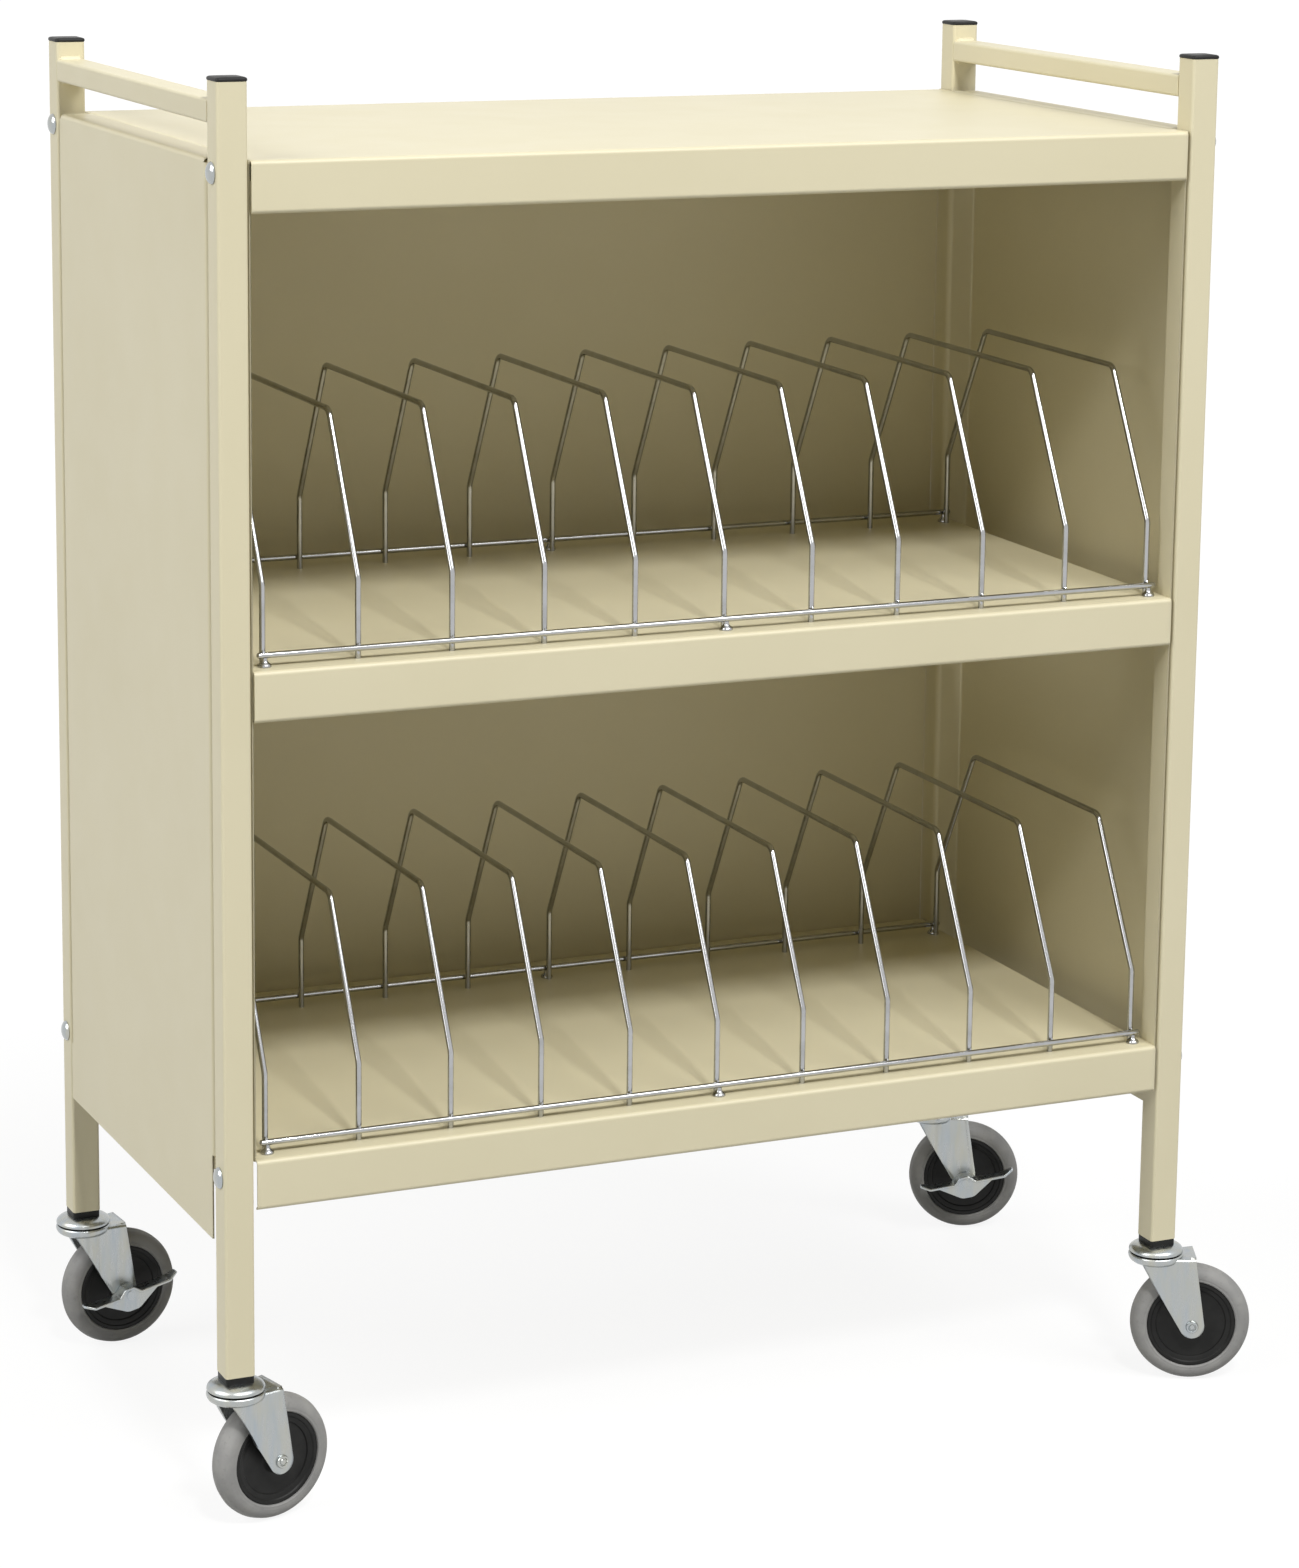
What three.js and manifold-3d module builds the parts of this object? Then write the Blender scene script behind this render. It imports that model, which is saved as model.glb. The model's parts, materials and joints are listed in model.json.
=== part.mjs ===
// Medical chart rack: a steel post frame with sheet steel shelves and end panels, a wire rack of
// upright dividers on each of the two lower shelves, and four swivel casters, two with brake pedals.
// Millimetres, +Z up, +X along the shelves, -Y towards the open front.
import * as THREE from 'three';
import { mergeVertices } from 'three/addons/utils/BufferGeometryUtils.js';
import Module from 'manifold-3d';

// Clearance between pieces that bear on each other
const SEAT_GAP = 0.3;

// Frame of square posts
const RACK_WIDTH = 850;
const RACK_DEPTH = 436;
const POST_SIZE = 24;
const POST_WALL = 1.6;
const POST_CORNER = 2.5;
const CAP_THICKNESS = 3.2;
const CAP_OVERHANG = 0.5;
const CAP_CHAMFER = 1.2;
const CAP_EDGE = 0.5;
const CAP_PLUG_DEPTH = 14;
const HAND_RAIL_HEIGHT = 18;
const HAND_RAIL_WALL = 1.6;
const HAND_RAIL_DROP = 14;
const HAND_GAP = 26;

// Sheet steel shelves, end panels and back
const SHEET = 1.5;
const SHEET_INNER_BEND = 2;
const SHELF_FACE = 40;
const SHELF_LIP = 14;
const SHELF_NOTCH = 27;
const SHELF_SPACING = 385;
const BOTTOM_SHELF_RISE = 174;
const PANEL_SEAM = 3;
const PANEL_FLANGE_SETBACK = 3;
const PANEL_FLANGE_GAP = 0.9;
const PANEL_FLANGE_END = 1;
const PANEL_SKIRT = 29;
const BACK_INSET = 4;

// Wire racks
const WIRE = 4.8;
const WIRE_SIDES = 6;
const DIVIDER_PITCH = 77;
const DIVIDER_FRONT_SETBACK = 21;
const DIVIDER_REAR_SETBACK = 57;
const DIVIDER_SLANT = 65;
const DIVIDER_HEIGHT = 183;
const DIVIDER_KNEE_HEIGHT = 62;
const DIVIDER_BEND = 10;
const BEND_STEPS = 2;
const RAIL_HEIGHT = 9;
const RAIL_OVERHANG = 6;
const RAIL_END_GAP = 3;

// Casters
const WHEEL_DIAMETER = 102;
const TYRE_WIDTH = 24;
const TYRE_SHOULDER = 9;
const TYRE_THICKNESS = 13.5;
const HUB_WIDTH = 21;
const HUB_BOSS_DIAMETER = 20;
const HUB_RIM = 6;
const HUB_RECESS = 3;
const WHEEL_SEGMENTS = 24;
const AXLE_DIAMETER = 8;
const AXLE_CLEARANCE = 0.1;
const AXLE_SIDES = 12;
const AXLE_HEAD_DIAMETER = 13;
const AXLE_HEAD_HEIGHT = 3;
const FORK_SHEET = 2.5;
const FORK_SIDE_CLEARANCE = 3;
const FORK_HEAD_CLEARANCE = 3.7;
const FORK_LEG_END = 10.5;
const LEG_ARC_STEPS = 4;
const FORK_FRONT_REACH = 12;
const FORK_HEEL = 2;
const TRAIL = 31;
const RACE_DIAMETER = 47;
const RACE_SEGMENTS = 20;
const LOWER_RACE_HEIGHT = 1.5;
const UPPER_RACE_HEIGHT = 7.7;
const RACE_RIM = 1.2;
const KING_PIN_DIAMETER = 12;
const KING_PIN_HEAD = 4;
const KING_PIN_HEAD_HEIGHT = 2.5;
const COLLAR_HEIGHT = 5.5;
const COLLAR_INSET = 0.5;
const STEM_PLUG_LENGTH = 45;

// Brake pedals, in their released position
const PEDAL_SHEET = 2;
const PEDAL_FRONT = 42;
const PEDAL_REAR = 46;
const PEDAL_TIP = 8;
const PEDAL_TIP_RISE = 4;
const PEDAL_WIDTH = 14;
const PEDAL_HUMP_CLEARANCE = 2.5;
const PEDAL_GUSSET_DEPTH = 14;
const PEDAL_GUSSET_TOP = 27;
const PEDAL_GUSSET_FOOT = 7;
const PEDAL_TILT = THREE.MathUtils.degToRad(12);

// Direction in which each wheel trails, turned from +X
const SWIVEL = {
  front_left: THREE.MathUtils.degToRad(14),
  front_right: THREE.MathUtils.degToRad(-24),
  rear_left: THREE.MathUtils.degToRad(5),
  rear_right: THREE.MathUtils.degToRad(-24),
};

// Heights and faces that follow from the sizes above
const AXLE_Z = WHEEL_DIAMETER / 2;
const FORK_UNDERSIDE_Z = WHEEL_DIAMETER + FORK_HEAD_CLEARANCE + KING_PIN_HEAD_HEIGHT + SEAT_GAP;
const FORK_TOP_Z = FORK_UNDERSIDE_Z + FORK_SHEET;
const LOWER_RACE_Z = FORK_TOP_Z + LOWER_RACE_HEIGHT;
const UPPER_RACE_Z = LOWER_RACE_Z + SEAT_GAP + UPPER_RACE_HEIGHT;
const POST_Z = UPPER_RACE_Z + COLLAR_HEIGHT;
const SHELF_Z = {
  bottom: POST_Z + BOTTOM_SHELF_RISE,
  middle: POST_Z + BOTTOM_SHELF_RISE + SHELF_SPACING,
  top: POST_Z + BOTTOM_SHELF_RISE + 2 * SHELF_SPACING,
};
const SHELF_UNDERSIDE_Z = SHELF_Z.bottom - SHELF_FACE;
const HAND_RAIL_Z = SHELF_Z.top + HAND_GAP;
const POST_TOP_Z = HAND_RAIL_Z + HAND_RAIL_HEIGHT + HAND_RAIL_DROP;
const SHEET_BEND = SHEET + SHEET_INNER_BEND;
const SIDE_X = RACK_WIDTH / 2;
const FRONT_Y = -RACK_DEPTH / 2;
const REAR_Y = RACK_DEPTH / 2;
const POST_X = SIDE_X - POST_SIZE / 2;
const POST_Y = REAR_Y - POST_SIZE / 2;
const FLANGE_X = SIDE_X - POST_SIZE - PANEL_FLANGE_GAP - SHEET;
const SHELF_END_X = FLANGE_X - SEAT_GAP;
const SHELF_REAR_Y = REAR_Y - BACK_INSET - SHEET - SEAT_GAP;
const PANEL_EDGE_Y = REAR_Y - POST_SIZE - PANEL_SEAM;
const DIVIDER_FRONT_Y = FRONT_Y + DIVIDER_FRONT_SETBACK;
const DIVIDER_REAR_Y = SHELF_REAR_Y - DIVIDER_REAR_SETBACK;
const DIVIDER_SPAN = 2 * (SHELF_END_X - RAIL_OVERHANG - RAIL_END_GAP);
const DIVIDER_COUNT = Math.floor(DIVIDER_SPAN / DIVIDER_PITCH) + 1;
const HUB_DIAMETER = WHEEL_DIAMETER - 2 * TYRE_THICKNESS;
const FORK_REAR_REACH = TRAIL + FORK_HEEL;
const FORK_LEG_Y = TYRE_WIDTH / 2 + FORK_SIDE_CLEARANCE;
const AXLE_SEAT_Y = FORK_LEG_Y + FORK_SHEET;
const BORE_SIZE = POST_SIZE - 2 * POST_WALL - 2 * SEAT_GAP;

const wasm = await Module();
wasm.setup();

// A closed geometry as a solid that can be joined and cut
function solid(geometry) {
  const bare = geometry.clone();
  bare.deleteAttribute('normal');
  bare.deleteAttribute('uv');
  const merged = mergeVertices(bare);
  const corners = merged.index.array;
  const triangles = [];
  for (let i = 0; i < corners.length; i += 3) {
    const [a, b, c] = corners.slice(i, i + 3);
    if (a !== b && b !== c && c !== a) triangles.push(a, b, c);
  }
  return new wasm.Manifold(new wasm.Mesh({
    numProp: 3,
    vertProperties: merged.attributes.position.array,
    triVerts: new Uint32Array(triangles),
  }));
}

function join(...geometries) {
  return geometries.map(solid).reduce((whole, piece) => whole.add(piece));
}

function geometryOf(body) {
  const { vertProperties, triVerts } = body.getMesh();
  const geometry = new THREE.BufferGeometry();
  geometry.setAttribute('position', new THREE.BufferAttribute(vertProperties, 3));
  geometry.setIndex(new THREE.BufferAttribute(triVerts, 1));
  geometry.computeVertexNormals();
  return geometry;
}

function block([x0, x1], [y0, y1], [z0, z1]) {
  const geometry = new THREE.BoxGeometry(Math.abs(x1 - x0), y1 - y0, z1 - z0);
  return geometry.translate((x0 + x1) / 2, (y0 + y1) / 2, (z0 + z1) / 2);
}

// A shape drawn in Y and Z, drawn out along X
function alongX(shape, x0, x1, arcSteps = 2) {
  const axes = new THREE.Matrix4().makeBasis(
    new THREE.Vector3(0, 1, 0), new THREE.Vector3(0, 0, 1), new THREE.Vector3(1, 0, 0));
  const settings = { depth: x1 - x0, bevelEnabled: false, curveSegments: arcSteps };
  return new THREE.ExtrudeGeometry(shape, settings).applyMatrix4(axes).translate(x0, 0, 0);
}

// A shape drawn in X and Z, drawn out along Y
function alongY(shape, y0, y1, arcSteps = 1) {
  const settings = { depth: y1 - y0, bevelEnabled: false, curveSegments: arcSteps };
  return new THREE.ExtrudeGeometry(shape, settings).rotateX(Math.PI / 2).translate(0, y1, 0);
}

// A shape drawn in X and Y, drawn out along Z
function alongZ(shape, z0, z1, arcSteps = 1) {
  const settings = { depth: z1 - z0, bevelEnabled: false, curveSegments: arcSteps };
  return new THREE.ExtrudeGeometry(shape, settings).translate(0, 0, z0);
}

// A profile of [radius, height] pairs turned about Z
function turnedAboutZ(profile, segments) {
  const points = profile.map(([radius, height]) => new THREE.Vector2(radius, height));
  return new THREE.LatheGeometry(points, segments).rotateX(Math.PI / 2);
}

// A round bar along Y at the place of the axle
function barAlongY(diameter, y0, y1) {
  const bar = new THREE.CylinderGeometry(diameter / 2, diameter / 2, y1 - y0, AXLE_SIDES);
  return bar.translate(TRAIL, (y0 + y1) / 2, AXLE_Z);
}

// Radius of a hole with flat sides that stays clear of the axle all round
function axleHole(sides) {
  return (AXLE_DIAMETER / 2 + AXLE_CLEARANCE) / Math.cos(Math.PI / sides);
}

function roundedRectangle(x0, x1, y0, y1, radius, path = new THREE.Shape()) {
  path.moveTo(x0 + radius, y0);
  path.lineTo(x1 - radius, y0);
  path.absarc(x1 - radius, y0 + radius, radius, -Math.PI / 2, 0);
  path.lineTo(x1, y1 - radius);
  path.absarc(x1 - radius, y1 - radius, radius, 0, Math.PI / 2);
  path.lineTo(x0 + radius, y1);
  path.absarc(x0 + radius, y1 - radius, radius, Math.PI / 2, Math.PI);
  path.lineTo(x0, y0 + radius);
  path.absarc(x0 + radius, y0 + radius, radius, Math.PI, 1.5 * Math.PI);
  return path;
}

function rectangle(x0, x1, y0, y1, path = new THREE.Shape()) {
  path.moveTo(x0, y0);
  path.lineTo(x1, y0);
  path.lineTo(x1, y1);
  path.lineTo(x0, y1);
  path.closePath();
  return path;
}

// A rectangle whose two upper corners are folded round
function foldedPanel(x0, x1, y0, y1, radius) {
  const shape = new THREE.Shape();
  shape.moveTo(x0, y0);
  shape.lineTo(x1, y0);
  shape.lineTo(x1, y1 - radius);
  shape.absarc(x1 - radius, y1 - radius, radius, 0, Math.PI / 2);
  shape.lineTo(x0 + radius, y1);
  shape.absarc(x0 + radius, y1 - radius, radius, Math.PI / 2, Math.PI);
  shape.closePath();
  return shape;
}

// Posts are square tubes, open at both ends
function post() {
  const half = POST_SIZE / 2;
  const bore = half - POST_WALL;
  const section = roundedRectangle(-half, half, -half, half, POST_CORNER);
  section.holes.push(rectangle(-bore, bore, -bore, bore, new THREE.Path()));
  return alongZ(section, POST_Z, POST_TOP_Z);
}

// A cap is a chamfered lid with a square plug that fits the bore of the post
function postCap() {
  const half = POST_SIZE / 2 + CAP_OVERHANG;
  const seat = POST_TOP_Z + SEAT_GAP;
  const chamfer = Math.min(CAP_CHAMFER, (CAP_THICKNESS - CAP_EDGE) / 2);
  const inner = half - chamfer;
  const section = roundedRectangle(-inner, inner, -inner, inner, POST_CORNER);
  const lid = new THREE.ExtrudeGeometry(section, {
    depth: CAP_THICKNESS - 2 * chamfer,
    bevelSize: chamfer,
    bevelThickness: chamfer,
    bevelSegments: 1,
    curveSegments: 1,
  }).translate(0, 0, seat + chamfer);
  const plugTop = seat + CAP_THICKNESS / 2;
  const plug = block([-BORE_SIZE / 2, BORE_SIZE / 2], [-BORE_SIZE / 2, BORE_SIZE / 2],
    [POST_TOP_Z - CAP_PLUG_DEPTH, plugTop]);
  return geometryOf(join(lid, plug));
}

// A hand rail is a rectangular tube as wide as the posts, set between them
function handRail() {
  const half = POST_SIZE / 2;
  const bottom = HAND_RAIL_Z;
  const top = bottom + HAND_RAIL_HEIGHT;
  const section = roundedRectangle(-half, half, bottom, top, POST_CORNER);
  const wall = HAND_RAIL_WALL;
  section.holes.push(rectangle(-half + wall, half - wall, bottom + wall, top - wall, new THREE.Path()));
  const end = REAR_Y - POST_SIZE - SEAT_GAP;
  return alongY(section, -end, end);
}

// An end panel is a pan: a skin flush with the posts, folded in over the top, and at both edges
// folded in behind the post and then along the inner side of the post
function endPanel(side) {
  const top = SHELF_Z.top;
  const bottom = SHELF_UNDERSIDE_Z - PANEL_SKIRT;
  const outer = foldedPanel(-SIDE_X, SIDE_X, bottom, top, SHEET_BEND);
  const inner = foldedPanel(-SIDE_X + SHEET, SIDE_X - SHEET, bottom - SHEET, top - SHEET, SHEET_BEND - SHEET);
  const keep = block([side * FLANGE_X, side * (SIDE_X + SHEET)], [-PANEL_EDGE_Y, PANEL_EDGE_Y],
    [bottom - SHEET, top + SHEET]);
  const skin = solid(alongY(outer, -PANEL_EDGE_Y, PANEL_EDGE_Y))
    .subtract(solid(alongY(inner, -REAR_Y, REAR_Y)))
    .intersect(solid(keep));
  const foldTop = top - SHEET / 2;
  const foldBottom = SHELF_Z.bottom - PANEL_FLANGE_END;
  const folds = [];
  for (const end of [-1, 1]) {
    const edge = [end * PANEL_EDGE_Y, end * (PANEL_EDGE_Y - SHEET)].sort((a, b) => a - b);
    const tip = [end * (REAR_Y - PANEL_FLANGE_SETBACK), end * (PANEL_EDGE_Y - SHEET)].sort((a, b) => a - b);
    folds.push(block([side * FLANGE_X, side * (SIDE_X - SHEET / 2)], edge, [foldBottom, foldTop]));
    folds.push(block([side * FLANGE_X, side * (FLANGE_X + SHEET)], tip, [foldBottom, top]));
  }
  return geometryOf(skin.add(join(...folds)));
}

// A shelf is an inverted pan with folded front and rear edges and lips turned in below. Its end
// flanges stop short of the corners, next to the posts
function shelf(top) {
  const bottom = top - SHELF_FACE;
  const inside = SHELF_END_X - SHEET;
  const profile = foldedPanel(FRONT_Y, SHELF_REAR_Y, bottom, top, SHEET_BEND);
  const outer = alongX(profile, -SHELF_END_X, SHELF_END_X);
  const hollow = foldedPanel(FRONT_Y + SHEET, SHELF_REAR_Y - SHEET, bottom + SHEET, top - SHEET,
    SHEET_BEND - SHEET);
  const mouth = block([-inside, inside], [FRONT_Y + SHELF_LIP, SHELF_REAR_Y - SHELF_LIP],
    [bottom - SHEET, bottom + 2 * SHEET]);
  let pan = solid(outer).subtract(solid(alongX(hollow, -inside, inside))).subtract(solid(mouth));
  const corners = [
    [FRONT_Y + SHEET, FRONT_Y + SHELF_NOTCH],
    [SHELF_REAR_Y - SHELF_NOTCH, SHELF_REAR_Y - SHEET],
  ];
  for (const corner of corners) {
    const notch = block([-SIDE_X, SIDE_X], corner, [bottom + SHEET, top - SHEET_BEND]);
    pan = pan.subtract(solid(notch));
  }
  return geometryOf(pan);
}

// The back panel is a flat sheet against the rear faces of the three shelves
function backPanel() {
  return block([-SHELF_END_X, SHELF_END_X], [REAR_Y - BACK_INSET - SHEET, REAR_Y - BACK_INSET],
    [SHELF_UNDERSIDE_Z, SHELF_Z.top - SHEET_BEND]);
}

// A wire's centre line through its own points, one step for each
class WirePath extends THREE.Curve {
  constructor(points) {
    super();
    this.points = points;
  }

  getPoint(t) {
    return this.points[Math.round(t * (this.points.length - 1))].clone();
  }

  getPointAt(t) {
    return this.getPoint(t);
  }

  getTangentAt(t) {
    const last = this.points.length - 1;
    const here = Math.round(t * last);
    const point = this.points[here];
    const tangent = new THREE.Vector3();
    if (here > 0) tangent.add(point.clone().sub(this.points[here - 1]).normalize());
    if (here < last) tangent.add(this.points[here + 1].clone().sub(point).normalize());
    return tangent.normalize();
  }
}

// Points along a line of corners, each corner bent to an arc
function bentLine(corners, radius) {
  const points = [corners[0]];
  for (let i = 1; i < corners.length - 1; i += 1) {
    const back = corners[i - 1].clone().sub(corners[i]).normalize();
    const ahead = corners[i + 1].clone().sub(corners[i]).normalize();
    const half = back.angleTo(ahead) / 2;
    const sweep = Math.PI - 2 * half;
    const toCentre = back.clone().add(ahead).normalize().multiplyScalar(radius / Math.sin(half));
    const start = back.multiplyScalar(radius / Math.tan(half)).sub(toCentre);
    const end = ahead.multiplyScalar(radius / Math.tan(half)).sub(toCentre);
    const centre = corners[i].clone().add(toCentre);
    for (let step = 0; step <= BEND_STEPS; step += 1) {
      const angle = sweep * step / BEND_STEPS;
      const point = centre.clone().addScaledVector(start, Math.sin(sweep - angle) / Math.sin(sweep));
      points.push(point.addScaledVector(end, Math.sin(angle) / Math.sin(sweep)));
    }
  }
  points.push(corners.at(-1));
  return points;
}

// A divider is one wire bent to a hoop: two legs, two slanted runs and a top bar
function divider(x, shelfTop) {
  const front = DIVIDER_FRONT_Y;
  const rear = DIVIDER_REAR_Y;
  const foot = shelfTop + SEAT_GAP;
  const knee = shelfTop + DIVIDER_KNEE_HEIGHT;
  const bar = shelfTop + DIVIDER_HEIGHT;
  const corners = [
    new THREE.Vector3(x, front, foot),
    new THREE.Vector3(x, front, knee),
    new THREE.Vector3(x, front + DIVIDER_SLANT, bar),
    new THREE.Vector3(x, rear - DIVIDER_SLANT, bar),
    new THREE.Vector3(x, rear, knee),
    new THREE.Vector3(x, rear, foot),
  ];
  const path = new WirePath(bentLine(corners, DIVIDER_BEND));
  const section = new THREE.Shape();
  for (let side = 0; side < WIRE_SIDES; side += 1) {
    const angle = 2 * Math.PI * side / WIRE_SIDES;
    section[side ? 'lineTo' : 'moveTo'](WIRE / 2 * Math.cos(angle), WIRE / 2 * Math.sin(angle));
  }
  return new THREE.ExtrudeGeometry(section, { extrudePath: path, steps: path.points.length - 1 });
}

// A rack rail runs along the outer side of the divider legs
function rackRail(end, shelfTop) {
  const offset = WIRE + SEAT_GAP;
  const place = { front: DIVIDER_FRONT_Y - offset, rear: DIVIDER_REAR_Y + offset };
  const length = (DIVIDER_COUNT - 1) * DIVIDER_PITCH + 2 * RAIL_OVERHANG;
  const rail = new THREE.CylinderGeometry(WIRE / 2, WIRE / 2, length, WIRE_SIDES).rotateZ(Math.PI / 2);
  return rail.translate(0, place[end], shelfTop + RAIL_HEIGHT);
}

// A stem is a square plug in the post, a collar, the domed upper race and the king pin below it
function casterStem() {
  const pin = KING_PIN_DIAMETER / 2;
  const head = pin + KING_PIN_HEAD;
  const headTop = FORK_UNDERSIDE_Z - SEAT_GAP;
  const seat = LOWER_RACE_Z + SEAT_GAP;
  const rim = RACE_DIAMETER / 2;
  const collar = POST_SIZE / 2 - COLLAR_INSET;
  const race = turnedAboutZ([
    [0, headTop - KING_PIN_HEAD_HEIGHT],
    [head, headTop - KING_PIN_HEAD_HEIGHT],
    [head, headTop],
    [pin, headTop],
    [pin, seat],
    [rim - RACE_RIM, seat],
    [rim, seat + RACE_RIM],
    [rim - RACE_RIM, seat + 2 * RACE_RIM],
    [collar, UPPER_RACE_Z],
    [0, UPPER_RACE_Z],
  ], RACE_SEGMENTS);
  const collarShape = roundedRectangle(-collar, collar, -collar, collar, POST_CORNER);
  const collarBlock = alongZ(collarShape, UPPER_RACE_Z - UPPER_RACE_HEIGHT / 2, POST_Z - SEAT_GAP);
  const plug = block([-BORE_SIZE / 2, BORE_SIZE / 2], [-BORE_SIZE / 2, BORE_SIZE / 2],
    [POST_Z - COLLAR_HEIGHT, POST_Z + STEM_PLUG_LENGTH]);
  return geometryOf(join(race, collarBlock, plug));
}

// Angle at which a line from a point touches the rounded end of a fork leg
function touchAngle(x, z, turn) {
  const dx = x - TRAIL;
  const dz = z - AXLE_Z;
  return Math.atan2(dz, dx) + turn * Math.acos(FORK_LEG_END / Math.hypot(dx, dz));
}

function forkLeg() {
  const leg = new THREE.Shape();
  leg.moveTo(-FORK_FRONT_REACH, FORK_TOP_Z);
  leg.lineTo(FORK_REAR_REACH, FORK_TOP_Z);
  leg.absarc(TRAIL, AXLE_Z, FORK_LEG_END, touchAngle(FORK_REAR_REACH, FORK_TOP_Z, -1),
    touchAngle(-FORK_FRONT_REACH, FORK_TOP_Z, 1), true);
  leg.closePath();
  return leg;
}

// A fork is pressed from sheet: the lower race, a top plate and two legs, with the axle riveted in.
// The axle has a head at both ends, or runs on at one end to carry a brake pedal and ends in its gusset
function casterFork(pedalWidth) {
  const rim = RACE_DIAMETER / 2;
  const underside = FORK_UNDERSIDE_Z;
  const race = turnedAboutZ([
    [0, underside],
    [rim - RACE_RIM, underside],
    [rim, underside + RACE_RIM],
    [rim, LOWER_RACE_Z - RACE_RIM],
    [rim - RACE_RIM, LOWER_RACE_Z],
    [0, LOWER_RACE_Z],
  ], RACE_SEGMENTS);
  const plate = block([-FORK_FRONT_REACH, FORK_REAR_REACH], [-AXLE_SEAT_Y, AXLE_SEAT_Y],
    [underside, FORK_TOP_Z]);
  const near = alongY(forkLeg(), -AXLE_SEAT_Y, -FORK_LEG_Y, LEG_ARC_STEPS);
  const far = alongY(forkLeg(), FORK_LEG_Y, AXLE_SEAT_Y, LEG_ARC_STEPS);
  const nearEnd = pedalWidth > 0 ? -AXLE_SEAT_Y - pedalWidth : -AXLE_SEAT_Y - AXLE_HEAD_HEIGHT / 2;
  const axle = [barAlongY(AXLE_DIAMETER, nearEnd, AXLE_SEAT_Y + AXLE_HEAD_HEIGHT / 2)];
  axle.push(barAlongY(AXLE_HEAD_DIAMETER, AXLE_SEAT_Y, AXLE_SEAT_Y + AXLE_HEAD_HEIGHT));
  if (pedalWidth === 0) {
    axle.push(barAlongY(AXLE_HEAD_DIAMETER, -AXLE_SEAT_Y - AXLE_HEAD_HEIGHT, -AXLE_SEAT_Y));
  }
  const holeRadius = KING_PIN_DIAMETER / 2 + SEAT_GAP;
  const hole = turnedAboutZ([
    [0, underside - FORK_SHEET],
    [holeRadius, underside - FORK_SHEET],
    [holeRadius, LOWER_RACE_Z + FORK_SHEET],
    [0, LOWER_RACE_Z + FORK_SHEET],
  ], RACE_SEGMENTS);
  return geometryOf(join(race, plate, near, far, ...axle).subtract(solid(hole)));
}

// Half of a wheel profile as [radius, distance from the middle], mirrored and closed, turned about Y
function turnedWheel(halfProfile) {
  const near = halfProfile.map(([radius, width]) => new THREE.Vector2(radius, -width));
  const far = halfProfile.map(([radius, width]) => new THREE.Vector2(radius, width)).reverse();
  const loop = [...near, ...far, near[0].clone()];
  return new THREE.LatheGeometry(loop, WHEEL_SEGMENTS).translate(TRAIL, 0, AXLE_Z);
}

// A hub is a spool: a long boss on the axle, a dished web and a flat rim that the tyre sits on
function wheelHub() {
  const bore = axleHole(WHEEL_SEGMENTS);
  const boss = HUB_BOSS_DIAMETER / 2;
  const rim = HUB_DIAMETER / 2;
  const face = HUB_WIDTH / 2;
  return turnedWheel([
    [bore, FORK_LEG_Y - SEAT_GAP],
    [boss, FORK_LEG_Y - SEAT_GAP],
    [boss + HUB_RECESS, face - HUB_RECESS],
    [rim - HUB_RIM - HUB_RECESS, face - HUB_RECESS],
    [rim - HUB_RIM, face],
    [rim, face],
  ]);
}

// A tyre is a rubber ring with a crowned tread and round shoulders
function tyre() {
  const inner = HUB_DIAMETER / 2 + SEAT_GAP;
  const outer = WHEEL_DIAMETER / 2;
  const half = TYRE_WIDTH / 2;
  const diagonal = TYRE_SHOULDER * (1 - Math.SQRT1_2);
  return turnedWheel([
    [inner, half],
    [outer - TYRE_SHOULDER, half],
    [outer - diagonal, half - diagonal],
    [outer, half - TYRE_SHOULDER],
  ]);
}

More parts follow.
